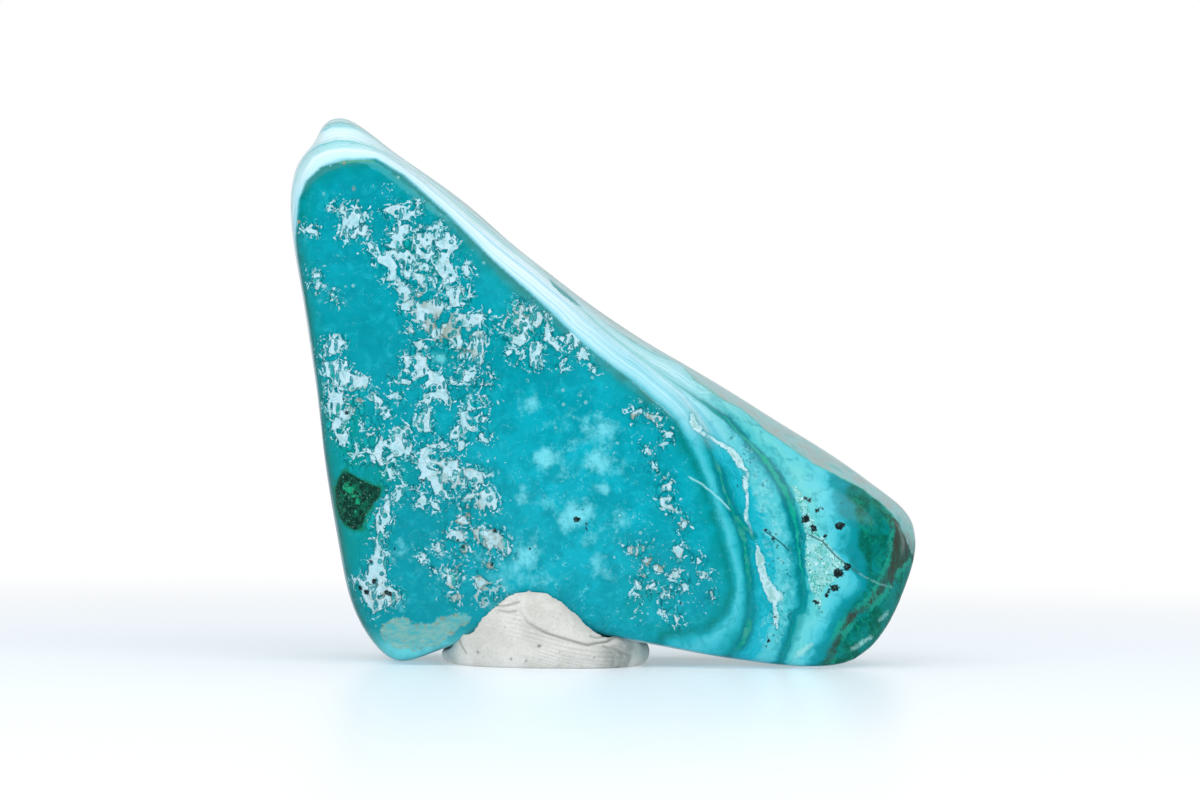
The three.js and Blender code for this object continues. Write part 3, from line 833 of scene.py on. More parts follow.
# Teal in the holes, and dark rings of teal round beads beside the lace.
in_crust = add("MapRange", lace_field, 0.0, 0.15, **SMOOTH)
ringed = add("Math", add("Math", near(holes, 0.05, 0.01, middle=0.3), in_crust, **TIMES), 0.8, **TIMES)
face_colour = layered(face_colour,
    ("#02757D", ringed),
    ("#0FA394", add("MapRange", holes, 0.24, 0.12, **SMOOTH), in_crust,
        add("MapRange", broad, 0.42, 0.58, 0.15, 0.85, **SMOOTH)))
beads = add("Math", add("Math", stretched(38, 1.0, 0.45), stretched(-35, 1.1, 0.5), **LESSER),
    add("MapRange", tiny, 0.3, 0.7, -0.02, 0.02), **PLUS)
beaded = add("Math",
    add("MapRange", add("Math", lace_field, add("Math", drawn["infill"], 1.5, **TIMES), **PLUS), -1.5, -0.3,
        **SMOOTH), add("MapRange", lace_mask, 0.5, 0.0, **SMOOTH), **TIMES)
beaded = add("Math", beaded, add("MapRange", middling, 0.4, 0.5, **SMOOTH), **TIMES)
face_colour = layered(face_colour,
    ("#01626A", near(beads, 0.07, 0.015, middle=0.36), beaded, 0.85),
    ("#16B0B4", add("MapRange", beads, 0.3, 0.16, **SMOOTH), beaded, 0.45))
grain = add("Math", add("MapRange", add("TexVoronoi", place, PER_METRE / 1.6), 0.2, 0.12, **SMOOTH),
    add("MapRange", middling, 0.52, 0.6, **SMOOTH), **TIMES)
face_colour = layered(face_colour, ("#8CCBD0", grain, 0.6))

# The malachite eye.
eye_field = drawn["eye"]
velvet = layered("#082E26",
    ("#12503F", add("MapRange", tiny, 0.4, 0.66, **SMOOTH)),
    ("#06664F", add("MapRange", small, 0.5, 0.62, 0, 0.7, **SMOOTH)),
    ("#5E8C7C", add("MapRange", tiny, 0.68, 0.78, **SMOOTH)),
    ("#149A6E",
        add("MapRange", add("Math", drawn["eye_heart"], add("Math", jag, 1.6, **TIMES), **PLUS), -0.15, 0.3,
            **SMOOTH)),
    ("#7FA89A", patches(0.22, 0.66, 0.72, 0, 0.7, detail=1)))
rind = layered("#127A62", (velvet, add("MapRange", eye_field, 0.08, 0.38, **SMOOTH)))
eye_field = add("Math", eye_field, add("Math", jag, 1.3, **TIMES), **PLUS)
face_colour = layered(face_colour,
    ("#07867E", add("MapRange", eye_field, -0.5, 0.1, 0, 0.6, **SMOOTH)),
    (rind, edge(eye_field, jag_tiny, 0.1)))

# Tan crust in the foot, and a painted highlight in pale cyan along its bottom rim.
fibres = add("TexNoise", add("Mapping", Vector=place, Rotation=(0, math.radians(-22), 0), Scale=(0.4, 1, 1)),
    PER_METRE / 0.7, 5.0, 0.75)
tan_crust = layered("#55B3B8",
    ("#8CB9B0", add("MapRange", fibres, 0.38, 0.6, **SMOOTH)),
    ("#A9C4BC", add("MapRange", fibres, 0.6, 0.68, **SMOOTH)),
    ("#8E8A74", patches(0.4, 0.6, 0.68, 0, 0.7, detail=2)))
foot = add("Math", drawn["foot"],
    add("Math", add("MapRange", middling, 0.3, 0.7, -0.4, 0.3), add("Math", jag, 1.8, **TIMES), **PLUS), **PLUS)
foot_rim = add("Math", near(foot, 0.45, 0.1, middle=0.25), patches(0.6, 0.5, 0.6), **TIMES)
face_colour = layered(face_colour,
    # The painted highlight along the foot's bottom rim.
    ("#62C9CE", drawn["painted_foot_highlight"], 0.7),
    (tan_crust, add("MapRange", foot, -0.15, 0.25, 0, 0.78, **SMOOTH)),
    ("#8A8A6E", foot_rim, 0.6))

# The belt and the facet: bands behind the teal layer.
across = add("Math", drawn["across"], add("MapRange", broad, 0.3, 0.7, -0.1, 0.1), **PLUS)
across = add("Math", across, add("MapRange", small, 0.3, 0.7, -0.015, 0.015), **PLUS)
across = add("Math", across,
    add("Math", add("MapRange", middling, 0.3, 0.7, -0.12, 0.12), drawn["low_end"], **TIMES), **PLUS)
across = add("Math", across, BELT_LINES, **OVER)
low_end = drawn["low_end"]
# A layer looks different where it is cut steeply (white), aslant (slope) or nearly flat (facet), and at the peak.
white_colour = add("ValToRGB", across,
    stops=[(0.0, "#5FBECF"), (0.08, "#7CCBDB"), (0.2, "#A9DAE6"), (0.34, "#D3EEF6"), (0.42, "#A9D9E9"),
        (0.5, "#D3EEF6"), (0.75, "#E3F6FB"), (0.92, "#B4DEEC"), (1.0, "#97CFE2"), (1.06, "#D9F1F8"),
        (1.25, "#E8F8FC"), (1.36, "#BBE0EE"), (1.42, "#E8F8FC"), (1.7, "#DDF3F8"), (1.9, "#BDE6EE"),
        (1.97, "#A5DAE2"), (2.0, "#62B8B8"), (2.03, "#B5E3EA"), (2.3, "#D0EEF4"), (2.5, "#A8DCE6"),
        (2.6, "#D3F0F5"), (2.85, "#96D3D8"), (2.97, "#52AFAC")])
slope_colour = add("ValToRGB", across,
    stops=[(0.0, "#1E9FAA"), (0.06, "#55BBC8"), (0.2, "#86CFDD"), (0.5, "#A2DCE8"), (0.7, "#8BD0DF"),
        (0.95, "#B4E2EC"), (1.1, "#C5EAF2"), (1.3, "#8FD2DF"), (1.5, "#B9E6EF"), (1.8, "#A5DDE6"),
        (1.92, "#8FCFD6"), (1.98, "#5BB6B4"), (2.03, "#A6DDE6"), (2.4, "#BEE9F0"), (2.8, "#9BDAE2"),
        (2.9, "#4FB7BC"), (2.97, "#2E9E98")])
facet_colour = add("ValToRGB", across,
    stops=[(0.0, "#0A9CA8"), (0.1, "#27B0BE"), (0.3, "#4BC0CE"), (0.5, "#35B7C6"), (0.75, "#0A9EA8"),
        (0.93, "#027E82"), (1.06, "#048E98"), (1.2, "#05A8BA"), (1.42, "#18B2C4"), (1.55, "#56C3CC"),
        (1.78, "#4CBFCA"), (1.88, "#109CA8"), (1.96, "#02787E"), (2.06, "#08909A"), (2.14, "#45BEC3"),
        (2.35, "#68CDD0"), (2.6, "#5CCAD6"), (2.78, "#3ABACA"), (2.9, "#058C92"), (2.97, "#02706C")])
peak_colour = add("ValToRGB", across,
    stops=[(0.0, "#7CCBDB"), (0.25, "#B9E3EC"), (0.9, "#DDF3F8"), (1.0, "#BCE4E9"), (1.1, "#A0D9DD"),
        (1.8, "#9FDADF"), (1.94, "#5FC4CF"), (2.02, "#CDECF2"), (2.3, "#E0F5F9"), (2.75, "#D3EFF4"),
        (2.9, "#7CCBD6"), (2.97, "#2FA5B4")])
belt_colour = layered(white_colour,
    (peak_colour, drawn["peak"]),
    (slope_colour, drawn["slope"]),
    (facet_colour, low_end))
peak_flecks = add("Math", patches(0.5, 0.6, 0.66, detail=2, bent=0.6),
    add("Math", drawn["peak"], near(across, 0.16, 0.1, middle=0.48), **TIMES), **TIMES)
belt_colour = layered(belt_colour, ("#5FA8AC", peak_flecks, 0.5))
# Growth lines, 34 to the belt's width, fainter in the facet.
fine_lines = add("TexNoise", W=add("Math", across, add("MapRange", middling, 0.3, 0.7, -0.006, 0.006), **PLUS),
    Scale=34.0, Detail=3.0, Roughness=0.7, noise_dimensions="1D")
line_share = add("MapRange", low_end, 0.0, 1.0, 1.0, 0.25)
belt_colour = layered(belt_colour,
    (layered("#8CC9DA", ("#4FB0C0", drawn["slope"])), add("MapRange", fine_lines, 0.52, 0.66, 0, 0.6, **SMOOTH),
        line_share),
    (layered("#EEF9FC", ("#7FD3DA", low_end)), add("MapRange", fine_lines, 0.45, 0.3, 0, 0.4, **SMOOTH),
        line_share))
# Mottling in the facet, the pale wedge with malachite threads, and dark flecks.
mottle = add("Math", patches(1.3, 0.5, 0.62, 0, 0.5, detail=5, rough=0.7, bent=0.6),
    add("Math", add("MapRange", drawn["speckles"], -0.6, 0.6, **SMOOTH), low_end, **TIMES), **TIMES)
belt_colour = layered(belt_colour,
    ("#8AD6DA", mottle),
    ("#0893A0", patches(2.0, 0.5, 0.64, 0, 0.5, detail=5, rough=0.6, bent=0.8), low_end))
wedge_colour = layered("#74CBD0",
    ("#98D2D2", add("MapRange", small, 0.35, 0.7, **SMOOTH)),
    ("#B4E2E4", patches(0.5, 0.55, 0.62, bent=1.0)),
    ("#1F9A84", near(add("TexNoise", place, PER_METRE / 1.6, 4, 0.55, Distortion=1.6), 0.035, 0.0, middle=0.5)),
    ("#0E7E6A", add("MapRange", tiny, 0.64, 0.7, **SMOOTH)))
belt_colour = layered(belt_colour, (wedge_colour, edge(drawn["wedge"], jag, 0.12)))
fleck = add("TexVoronoi", place, PER_METRE / 0.65)
flecks = add("Math", add("MapRange", add("Math", fleck, jag_tiny, **PLUS), 0.3, 0.2, **SMOOTH),
    patches(2.2, 0.42, 0.56), **TIMES)
flecks = add("Math", flecks,
    add("Math", add("MapRange", drawn["speckles"], -0.3, 0.4, **SMOOTH), low_end, **TIMES), **TIMES)
belt_colour = layered(belt_colour, ("#1F5F66", flecks, 0.7))
# Green veins of malachite, each a dark halo round a green heart.
vein_jag = add("MapRange", small, 0.3, 0.7, -0.5, 0.5)
vein_width = add("MapRange", add("TexNoise", place, PER_METRE / 2.4, 4, 0.6), 0.35, 0.65, 0.45, -0.35)
VEINS = [  # name, colour at its heart, the stain in it, and how far it narrows where it is thin
    ("vein_one", "#0C9682", "#349A8E", 0.25),
    ("vein_branch", "#0C9682", "#2A968A", 0.0),
    ("vein_two", "#02A488", "#1FA294", 1.1),
]
for name, heart, stain, squeeze in VEINS:
    off = add("Math", add("Math", drawn[name], vein_jag, **PLUS), **SIZE)
    off = add("Math", off, add("Math", add("Math", drawn["vein_thin"], squeeze, **TIMES), 1.0, **PLUS), **TIMES)
    strength = add("Math", drawn[name + "_strength"], add("MapRange", low_end, 0.3, 1.0, 0.15, 1.0, **SMOOTH),
        **TIMES)
    heart_strength = add("Math", strength,
        add("MapRange",
            add("Math", drawn["vein_fade"], add("MapRange", middling, 0.35, 0.65, -0.3, 0.3), **PLUS), 0.0, 1.0,
            1.0, 0.15, **SMOOTH), **TIMES)
    belt_colour = layered(belt_colour,
        ("#017680", add("MapRange", off, 2.6, 0.8, **SMOOTH),
            add("MapRange", drawn["vein_fade"], 0.0, 1.0, 0.8, 0.45), strength))
    core = add("Math", add("MapRange", add("Math", off, vein_width, **PLUS), 1.05, 0.35, **SMOOTH),
        heart_strength, **TIMES)
    belt_colour = layered(belt_colour, (layered(heart, (stain, patches(1.2, 0.42, 0.6, detail=4))), core))
# The pale vein with a dark border, broken here and there, and its wide blades.
pale_vein = layered("#C0E0E6", ("#93CBD0", add("MapRange", small, 0.4, 0.7, **SMOOTH)))
off = add("Math", drawn["white_vein"], add("Math", vein_jag, 1.8, **TIMES), **PLUS)
beside = add("Math", add("Math", near(off, 3.2, 1.2), drawn["white_vein_strength"], **TIMES), 0.45, **TIMES)
belt_colour = layered(belt_colour, ("#0D8E9A", beside))
broken = patches(1.4, 0.4, 0.5, 0.25, 0.95)
belt_colour = layered(belt_colour, (pale_vein, near(off, 1.4, 0.7), drawn["white_vein_strength"], broken))
blade = add("Math", drawn["white_blade"], add("Math", jag, 1.2, **TIMES), **PLUS)
belt_colour = layered(belt_colour, ("#0D8E9A", near(blade, 0.2, 0.06), 0.5))
blade_colour = layered(pale_vein,
    ("#98C6C2",
        add("MapRange", add("Math", blade, add("MapRange", small, 0.3, 0.7, -0.3, 0.3), **PLUS), 0.25, 0.6,
            **SMOOTH)))
belt_colour = layered(belt_colour, (blade_colour, add("MapRange", blade, 0.0, 0.1, **SMOOTH), 0.9))

# Malachite with brown at the tip.
malachite = layered("#02807E",
    ("#036152", patches(2.6, 0.38, 0.62, detail=5, bent=0.6)),
    ("#0C8A70", patches(0.9, 0.5, 0.62, 0, 0.75, detail=5, rough=0.7, bent=1.0)),
    ("#0B4A40", add("MapRange", tiny, 0.56, 0.66, 0, 0.5, **SMOOTH)))
streaks = add("TexNoise", add("Mapping", Vector=place, Rotation=(0, math.radians(-35), 0), Scale=(1, 1, 0.2)),
    PER_METRE / 0.8, 3.0)
browned = add("Math",
    add("MapRange", add("Math", drawn["brown"], add("Math", jag, 2.0, **TIMES), **PLUS), -0.4, 0.5, **SMOOTH),
    add("MapRange", streaks, 0.36, 0.62, 0.5, 0.95, **SMOOTH), **TIMES)
malachite = layered(malachite, ("#3A4038", browned))
dark_field = add("Math", drawn["dark"], add("MapRange", middling, 0.3, 0.7, -0.5, 0.5), **PLUS)
belt_colour = layered(belt_colour,
    ("#038E9A", add("MapRange", dark_field, -1.9, -0.4, 0, 0.75, **SMOOTH)),
    (malachite, add("MapRange", dark_field, -0.5, 0.5, **SMOOTH)),
    ("#1FA08C", near(add("Math", drawn["brown"], add("Math", jag, 1.5, **TIMES), **MINUS), 0.5, 0.15),
        add("MapRange", middling, 0.42, 0.56, 0, 0.7, **SMOOTH)),
    # A pale streak of chrysocolla, and painted highlights on the malachite's rounded rim.
    ("#9FD9D8",
        add("MapRange", add("Math", drawn["pale_streaks_and_glints"], add("Math", jag, 0.9, **TIMES), **PLUS), -0.3, 0.3,
            0, 0.75, **SMOOTH)))

# Cracks, and the faint pale line that one of them runs out into.
belt_colour = layered(belt_colour,
    ("#1B4A4E", lined("crack", 0.6), 0.8),
    ("#1B4A4E", lined("crack_two", 0.6), 0.8),
    ("#7FC0C0", lined("crack_tail", 0.8, add("Math", vein_jag, 2.6, **TIMES)),
        add("Math", broken, 0.42, **TIMES)))

# The strip along the top and the back: grey-brown rock with bands of green and teal.
depth = add("SeparateXYZ", Vector=place, out="Y")
warped = add("Math", depth,
    add("MapRange", add("TexNoise", place, PER_METRE / 16, 4, 0.55, Distortion=0.4), 0.25, 0.75, -0.005, 0.005),
    **PLUS)
back_level = add("Math", add("TexNoise", place, PER_METRE / 30, 2, 0.45, Distortion=0.6),
    add("MapRange", add("TexNoise", place, PER_METRE / 5, 4, 0.55), 0.25, 0.75, -0.03, 0.03), **PLUS)
rock = add("ValToRGB", back_level,
    stops=[(0.9, "#5F5B4C"), (1.05, "#85887A"), (1.17, "#6E6A58"), (1.23, "#1F6A52"), (1.28, "#12906E"),
        (1.31, "#0C6B57"), (1.35, "#3FA98E"), (1.38, "#8FC7C0"), (1.41, "#0E8D86"), (1.46, "#BFE0E6"),
        (1.49, "#83C3D2"), (1.53, "#D5ECF1"), (1.58, "#7FCAD6"), (1.63, "#1FA5B4"), (1.75, "#058E9C"),
        (1.95, "#0DA8BA"), (2.2, "#048B99")])
# Growth lines on the back, and lace and black specks in its teal.
micro = add("TexNoise", W=back_level, Scale=70.0, Detail=3.0, Roughness=0.7, noise_dimensions="1D")
micro_share = add("MapRange", back_level, 0.56, 0.5, **SMOOTH)
rock = layered(rock,
    ("#0B6E62", add("MapRange", micro, 0.52, 0.66, 0, 0.45, **SMOOTH), micro_share),
    ("#BFE0DE", add("MapRange", micro, 0.45, 0.32, 0, 0.35, **SMOOTH), micro_share))
back_lace = add("Math", add("TexNoise", place, PER_METRE / 2.6, 4, 0.65, Distortion=1.2),
    add("MapRange", add("TexNoise", place, PER_METRE / 12, 2, 0.55), 0.3, 0.7, -0.09, 0.05), **PLUS)
rock = layered(rock,
    (crust, add("MapRange", back_lace, 0.57, 0.59, **SMOOTH),
        add("MapRange", back_level, 0.54, 0.58, **SMOOTH)),
    ("#26302C", patches(1.4, 0.66, 0.7), patches(10, 0.5, 0.56)))
# The strip of grey-brown rock along the top, streaked along its length.
strip_field = add("Math", drawn["strip"], add("Math", jag_small, 0.5, **TIMES), **PLUS)
belt_colour = layered(belt_colour, ("#1E9496", edge(drawn["lens"], jag_tiny, 0.1)))
strip_rock = layered("#93B2B3", ("#8ABDBE", patches(3, 0.4, 0.62, bent=0.5)))
grey_streaks = add("TexNoise",
    add("Mapping", Vector=place, Rotation=(0, math.radians(-38), 0), Scale=(0.25, 1, 1)), PER_METRE / 1.8, 4.0)
strip_rock = layered(strip_rock,
    ("#A29D96", add("MapRange", grey_streaks, 0.48, 0.62, 0, 0.45, **SMOOTH)),
    ("#63A8A4", add("MapRange", grey_streaks, 0.44, 0.34, 0, 0.6, **SMOOTH)),
    ("#B3D3DA", drawn["strip_pale"], 0.8),
    ("#4FAFA5", near(strip_field, 0.22, 0.05)))
belt_colour = layered(belt_colour,
    (strip_rock, add("MapRange", strip_field, -0.06, 0.1, **SMOOTH),
        add("MapRange", drawn["dark"], 1.5, 5.0, 1.0, 0.55, **SMOOTH)))

# Round the sides the layers are cut across, so they run as bands at their depth from the face.
layers = add("MapRange", warped, -0.0175, 0.008, 0, 1)
layer_colour = add("ValToRGB", layers,
    stops=[(0.0, "#1FA3B4"), (0.12, "#4FC0CE"), (0.22, "#1CA0B0"), (0.3, "#8CD0DD"), (0.42, "#D3EEF6"),
        (0.5, "#9CD2E2"), (0.55, "#E3F6FB"), (0.85, "#D3EEF6"), (0.9, "#86C9DA"), (0.95, "#E3F6FB"),
        (1.15, "#C5E6EC"), (1.22, "#2FA3A6"), (1.27, "#7CC6C4"), (1.42, "#BCE0E4"), (1.52, "#5CB4B8"),
        (1.6, "#93B2B3"), (1.95, "#8ABDBE"), (2.2, "#93A9A6"), (2.4, "#1F9078"), (2.5, "#8ABDBE"),
        (2.7, "#0E8D86"), (3.0, "#058E9C")])
fine_layers = add("TexNoise", W=layers, Scale=60.0, Detail=3.0, Roughness=0.7, noise_dimensions="1D")
layer_colour = layered(layer_colour,
    ("#7FC3CF", add("MapRange", fine_layers, 0.5, 0.68, 0, 0.45, **SMOOTH)),
    ("#E8F6F9", add("MapRange", fine_layers, 0.45, 0.3, 0, 0.4, **SMOOTH)))
side_colour = layered(layer_colour, (rock, add("MapRange", warped, 0.0065, 0.0085, **SMOOTH)))

# The front over the sides and the back; the teal face ends crisply above and softly at the facet.
rounded = add("MapRange", low_end, 0, 1, 1, 0.3)
front_colour = layered(belt_colour,
    (face_colour, edge(add("Math", teal_field, rounded, **TIMES), add("Math", jag_tiny, 0.4, **TIMES), 0.22)),
    ("#8FD6DE", lined("face_crack", 0.7, add("Math", vein_jag, 0.8, **TIMES)), 0.75))
colour = layered(side_colour,
    (front_colour, front),
    (layered("#152022", ("#35555A", add("MapRange", tiny, 0.5, 0.64, **SMOOTH))),
        edge(drawn["black"], add("Math", jag, 1.4, **TIMES), 0.04), front),
    ("#4A4638", drawn["pitted"], add("MapRange", tiny, 0.62, 0.7, **SMOOTH)))

# A wet polish on the teal, duller where the lace and the pits undercut it.
roughness = add("MapRange", add("Math", add("Math", lace_mask, front, **TIMES), drawn["pitted"], **GREATER), 0,
    1, 0.16, 0.3)
fine_bump = add("Bump",
    Height=add("Math", add("Math", small, 0.3, **TIMES), add("Math", lace_mask, -0.4, **TIMES), **PLUS),
    Strength=0.06, Distance=0.0002)
surface = add("BsdfPrincipled", Base_Color=colour, Roughness=roughness, IOR=1.5, Specular_IOR_Level=0.22,
    Normal=fine_bump)
add("OutputMaterial", Surface=surface)
mesh.materials.clear()
mesh.materials.append(polished)

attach(stone, "root")
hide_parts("stone")

# The putty. A lump of off-white kneaded putty, pressed flat on the table and squeezed up against the stone by hand.
# It keeps finger ridges, a crease where one flap was folded over, and a few pores.
PUTTY_VOXEL = 0.36 * MM
PUTTY_BASE = 0.3 * MM    # below this the lump stays flat on the table
RIDGE_SPACING = 0.5      # mm from one finger ridge to the next
RIDGE_HEIGHT = 0.05 * MM
# The widths here are in mm, from the middle of the mark to where it fades.
CREASE_DEPTH, CREASE_WIDTH = 0.2 * MM, 0.17
CRACK_DEPTH, CRACK_WIDTH = 0.16 * MM, 0.14
FLAP_HEIGHT, FLAP_WIDTH = 0.07 * MM, 1.1
DENT_DEPTH, PORE_DEPTH, MOST_PUSH = 0.1 * MM, 0.2 * MM, 0.12 * MM
SQUEEZED_OUT = 1.1 * MM  # how far the lump was pushed aside and up by the stone
# Where these lie in the photograph: from and to, in pixels across (X) or down (Y).
THUMB_X, THUMB_REACH = 570, 60
RIDGES_X = (480, 530)
LEFT_X = (462, 522)
LIP_RIGHT_X, LIP_RIGHT_END_X = (606, 622), (632, 650)
LIP_LEFT_X, LIP_LEFT_END_X = (440, 452), (462, 480)
# The next pair bounds a shadow painted under the folded flap.
FLAP_SHADOW_X, FLAP_SHADOW_Y = (590, 618), (643, 650)
CREASE = marks("505,598 515,603 528,623 546,633 569,640 587,645 602,642 618,640")[0]
PUTTY_CRACKS = marks("""
465,645 466,649 467,653
498,605 505,606 512,604 519,602
500,610 509,612 516,611
590,636 597,638 603,637
608,640 620,643 633,646
604,646 618,651 630,655
""")
PUTTY_PORES = [
    (479, 652, 1.2), (511, 659, 0.9), (539, 646, 1.6), (447, 660, 0.9), (560, 652, 0.7), (526, 661, 0.8),
    (594, 658, 0.9),
]
lump = bpy.data.objects.new("display_putty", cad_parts["putty"].data.copy())
bpy.context.collection.objects.link(lump)
fine = skinned(lump, PUTTY_VOXEL)
for _ in range(3):
    smooth([v for v in fine.verts if v.co.z > PUTTY_BASE], 1)


def by_front(middles, normals):
    """The faces of the putty that show in front of the stone."""
    return (middles[:, 1] < -15 * MM) & (normals[:, 1] < 0.3) & (middles[:, 2] > 0.5 * MM)


refine(by_front, 1)
fine.normal_update()
fine.to_mesh(lump.data)
fine.free()
mesh = lump.data
points, normals, places = surface_of(mesh)
in_front = step(-points[:, 1], 12 * MM, 15 * MM)
off_table = step(points[:, 2], 0.2 * MM, 1.0 * MM)
crease_gap, crease_side, crease_share = nearest(places, CREASE)
below = step(crease_gap * crease_side, -0.1, 0.6)
bend = wave_sum(points, [17, 12, 9], seed=3)
ridge_phase = (points[:, 2] / MM + 0.2 * (points[:, 0] / MM + 7) + 1.5 * bend) / RIDGE_SPACING
behind = step(points[:, 1], 12 * MM, 15 * MM) * step(bend, -0.2, 0.3)
thumb = 1.3 * np.exp(-(((places[:, 0] - THUMB_X) / THUMB_REACH) ** 2))
pressed = step(wave_sum(points, [11, 8, 6], seed=21) + thumb, -0.35, 0.5)
ridged = below * in_front * pressed * step(places[:, 0], *RIDGES_X) + behind
ridges = np.sin(2 * math.pi * ridge_phase) * ridged
dents = wave_sum(points, [9, 7, 5.5, 4.5], seed=12)
crease_fade = step(crease_share, 0, 0.5) * (1 - 0.6 * step(crease_share, 0.9, 1))
crease = -np.exp(-((crease_gap / CREASE_WIDTH) ** 2)) * in_front * crease_fade
flap = np.exp(-((crease_gap / FLAP_WIDTH) ** 2)) * (crease_side < 0) * in_front
cracked = np.min([nearest(places, path)[0] for path in PUTTY_CRACKS], axis=0)
cracked = -np.exp(-((cracked / CRACK_WIDTH) ** 2)) * in_front
pores = step(discs(places, PUTTY_PORES), -0.1, 0.08) * in_front
push = (RIDGE_HEIGHT * ridges + DENT_DEPTH * dents + CREASE_DEPTH * crease + FLAP_HEIGHT * flap
        + CRACK_DEPTH * cracked - PORE_DEPTH * pores)
push = np.minimum(push, MOST_PUSH) * off_table
shaped = points + normals * push[:, None]
# The lump was squeezed out a little to the left of the stone's foot and up under its edge on both sides.
left = 1 - step(places[:, 0], *LEFT_X)
left *= step(-points[:, 1], 8 * MM, 13 * MM) * step(points[:, 2], 1 * MM, 4 * MM)
shaped[:, 0] -= SQUEEZED_OUT * left
lip_right = step(places[:, 0], *LIP_RIGHT_X) * (1 - step(places[:, 0], *LIP_RIGHT_END_X))
lip_left = step(places[:, 0], *LIP_LEFT_X) * (1 - step(places[:, 0], *LIP_LEFT_END_X))
lip = step(points[:, 2], 2 * MM, 3.6 * MM) * (1 - step(points[:, 2], 4.3 * MM, 6 * MM))
lip *= step(-points[:, 1], -16 * MM, -10 * MM)
shaped[:, 2] += SQUEEZED_OUT * np.maximum(lip_right, lip_left) * lip
mesh.vertices.foreach_set("co", shaped.ravel())
mesh.update()
# Marks for the colour: where it paints shade into the crease, the ridges' troughs, the cracks and the pores.
store("crease", -crease)
store("ridges", ridges)
store("cracked", -cracked)
# A painted shadow under the folded flap.
store("flap_shadow", step(places[:, 0], *FLAP_SHADOW_X) * step(places[:, 1], *FLAP_SHADOW_Y) * in_front)
store("pores", pores)

# Kneaded putty: fine white filler in a waxy binder, matt with a faint sheen where fingers pressed it smooth. Its
# grit is too fine to show, so it is drawn 0.25 to 0.3 mm across.
putty = bpy.data.materials.new("off_white_display_putty")
tree = emptied(putty)
place = add("TexCoord", out="Object")
drawn = {mark.name: add("Attribute", attribute_name=mark.name, out="Fac")
         for mark in mesh.attributes if mark.data_type == "FLOAT"}
body = layered("#DAD9D4",
    ("#CAC9C3", patches(4, 0.35, 0.65, detail=4)),
    ("#A5A49C", patches(0.3, 0.5, 0.7, 0, 0.45, detail=4, rough=0.7)),
    ("#E6E5E0", patches(0.8, 0.56, 0.7, 0, 0.35)),
    # Painted shade in the ridges' troughs, along the crease and in the cracks.
    ("#8F918C", add("MapRange", drawn["ridges"], 0.0, -1.0, 0, 0.3, **SMOOTH)),
    ("#6A6C66", drawn["crease"], 0.7),
    ("#8A8B84", drawn["cracked"], 0.65),
    # A painted shadow under the folded flap, darker in patches.
    ("#74807E", drawn["flap_shadow"], patches(1.5, 0.35, 0.6, 0.3, 0.75, detail=4)))
dust = add("TexVoronoi", place, PER_METRE / 1.7)
body = layered(body,
    ("#6D7378", add("MapRange", dust, 0.07, 0.04, **SMOOTH), 0.6),
    # Painted shade in the pores.
    ("#5D6570", drawn["pores"], 0.8))
grit = add("Bump", Height=add("TexNoise", place, PER_METRE / 0.25, 3, 0.55), Strength=0.5, Distance=0.0001)
surface = add("BsdfPrincipled", Base_Color=body, Roughness=0.72, IOR=1.46, Normal=grit)
add("OutputMaterial", Surface=surface)
mesh.materials.clear()
mesh.materials.append(putty)

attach(lump, "root")
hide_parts("putty")

# The table: a pale glossy sheet that runs out into white, so that no horizon shows.
FLOOR_SIZE = 3.0
floor_mesh = bpy.data.meshes.new("table")
half = FLOOR_SIZE / 2
floor_mesh.from_pydata([(-half, -half, 0), (half, -half, 0), (half, half, 0), (-half, half, 0)], [], [(0, 1, 2, 3)])
floor = bpy.data.objects.new("table", floor_mesh)
bpy.context.collection.objects.link(floor)
sheet = bpy.data.materials.new("white_acrylic_sheet")
tree = emptied(sheet)
place = add("TexCoord", out="Object")
away = add("VectorMath", place, operation="LENGTH")
rays = add("LightPath").node.outputs
# The sheet glows as a fill light: faintly where it is seen, more strongly in the light it sends onto the stone and
# putty. In their reflections it shows as a dim grey sheet.
bounce = add("Math", add("Math", rays["Is Diffuse Ray"], 0.3, **TIMES), 0.145, **PLUS)
gloss = add("BsdfPrincipled", Base_Color="#E3EAF0", Roughness=0.3, IOR=1.45, Emission_Color=(0.95, 0.975, 1, 1),
    Emission_Strength=bounce)
glow = add("Emission", Color=(1, 1, 1, 1), Strength=1.0)
dim = add("BsdfDiffuse", Color="#3C4044")
mirrored = add("MixShader", add("Math", rays["Is Glossy Ray"], 0.85, **TIMES), gloss, dim)
run_out = add("Math", add("MapRange", away, 0.06, 0.3, **SMOOTH), rays["Is Camera Ray"], **TIMES)
surface = add("MixShader", run_out, mirrored, glow)
add("OutputMaterial", Surface=surface)
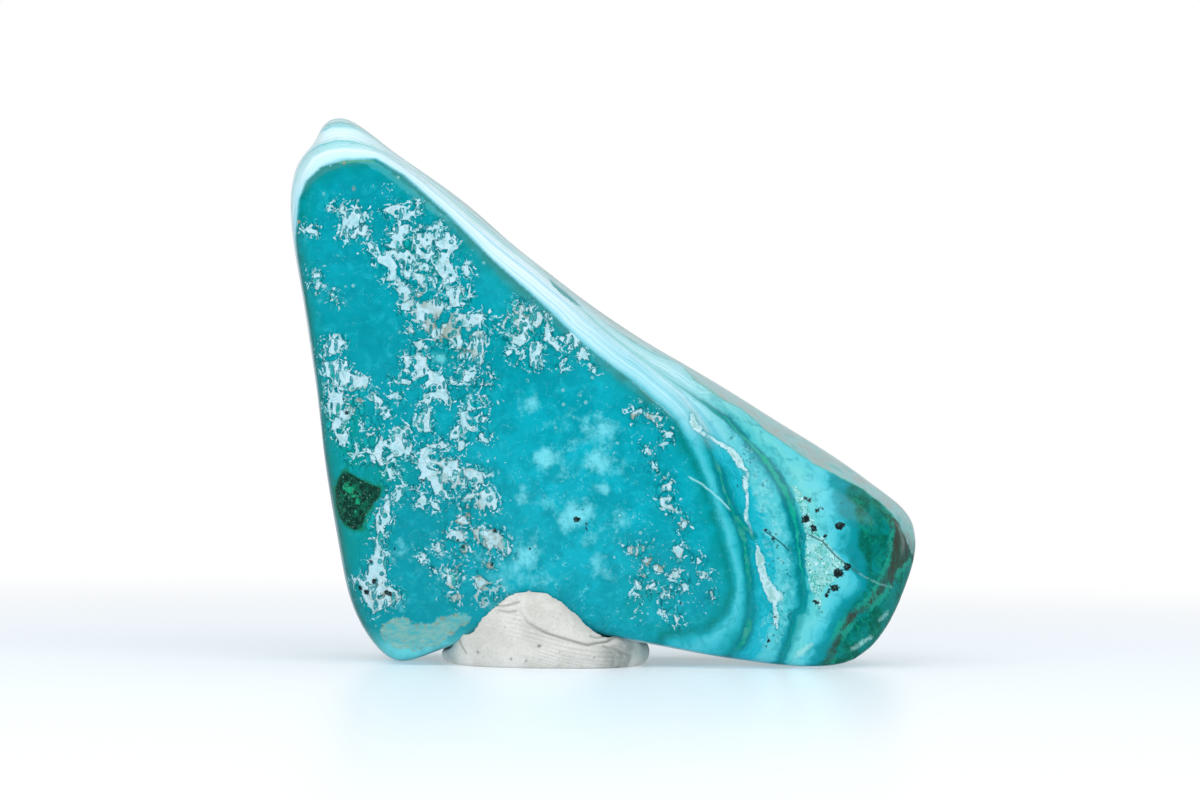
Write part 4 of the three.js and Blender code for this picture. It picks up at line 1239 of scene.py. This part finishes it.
floor_mesh.materials.append(sheet)

# Soft studio light: a white backdrop behind and above, a dim room in front, and large soft boxes on either side
# and above.
world = bpy.data.worlds.new("studio")
bpy.context.scene.world = world
tree = emptied(world)
seen = add("LightPath", out="Is Camera Ray")
white = add("Background", Color=(1, 1, 1, 1), Strength=1.0)
direction = add("SeparateXYZ", add("TexCoord", out="Generated")).node.outputs
backdrop = add("MapRange", add("Math", direction["Y"], add("Math", direction["Z"], 0.5, **TIMES), **PLUS), 0.0,
    0.5, 0.05, 0.65, **SMOOTH)
fill = add("Background", Color=(0.93, 0.97, 1, 1), Strength=backdrop)
surface = add("MixShader", seen, fill, white)
add("OutputWorld", Surface=surface)

SOFT_BOXES = [  # name, where it stands, its width and height, its power in watts
    ("soft_box_left", (-0.36, -0.42, 0.5), (0.8, 0.55), 3.2),
    ("soft_box_right", (0.34, -0.43, 0.5), (0.8, 0.55), 3.0),
    ("strip_box_right", (0.5, 0.12, 0.06), (0.05, 0.3), 0.15),
    ("soft_box_top", (0.0, 0.1, 0.7), (0.8, 0.6), 1.0),
]
AIM_HEIGHT = 0.035
for name, (x, y, z), (width, height), power in SOFT_BOXES:
    lamp = bpy.data.lights.new(name, "AREA")
    lamp.shape = "RECTANGLE"
    lamp.size, lamp.size_y = width, height
    lamp.energy = power
    box = bpy.data.objects.new(name, lamp)
    bpy.context.collection.objects.link(box)
    box.location = (x, y, z)
    toward = Vector((-x, -y, AIM_HEIGHT - z))
    box.rotation_euler = toward.to_track_quat("-Z", "Y").to_euler()

# The camera stands where the photograph was taken from.
lens = bpy.data.cameras.new("camera")
lens.lens = LENS
lens.sensor_width = SENSOR_WIDTH
lens.clip_start = 0.01
camera = bpy.data.objects.new("camera", lens)
bpy.context.collection.objects.link(camera)
camera.location = (VIEW_X, -VIEW_DISTANCE, VIEW_HEIGHT)
camera.rotation_euler = (math.pi / 2, -VIEW_ROLL, 0)
bpy.context.scene.camera = camera
bpy.context.scene.view_settings.view_transform = "Standard"
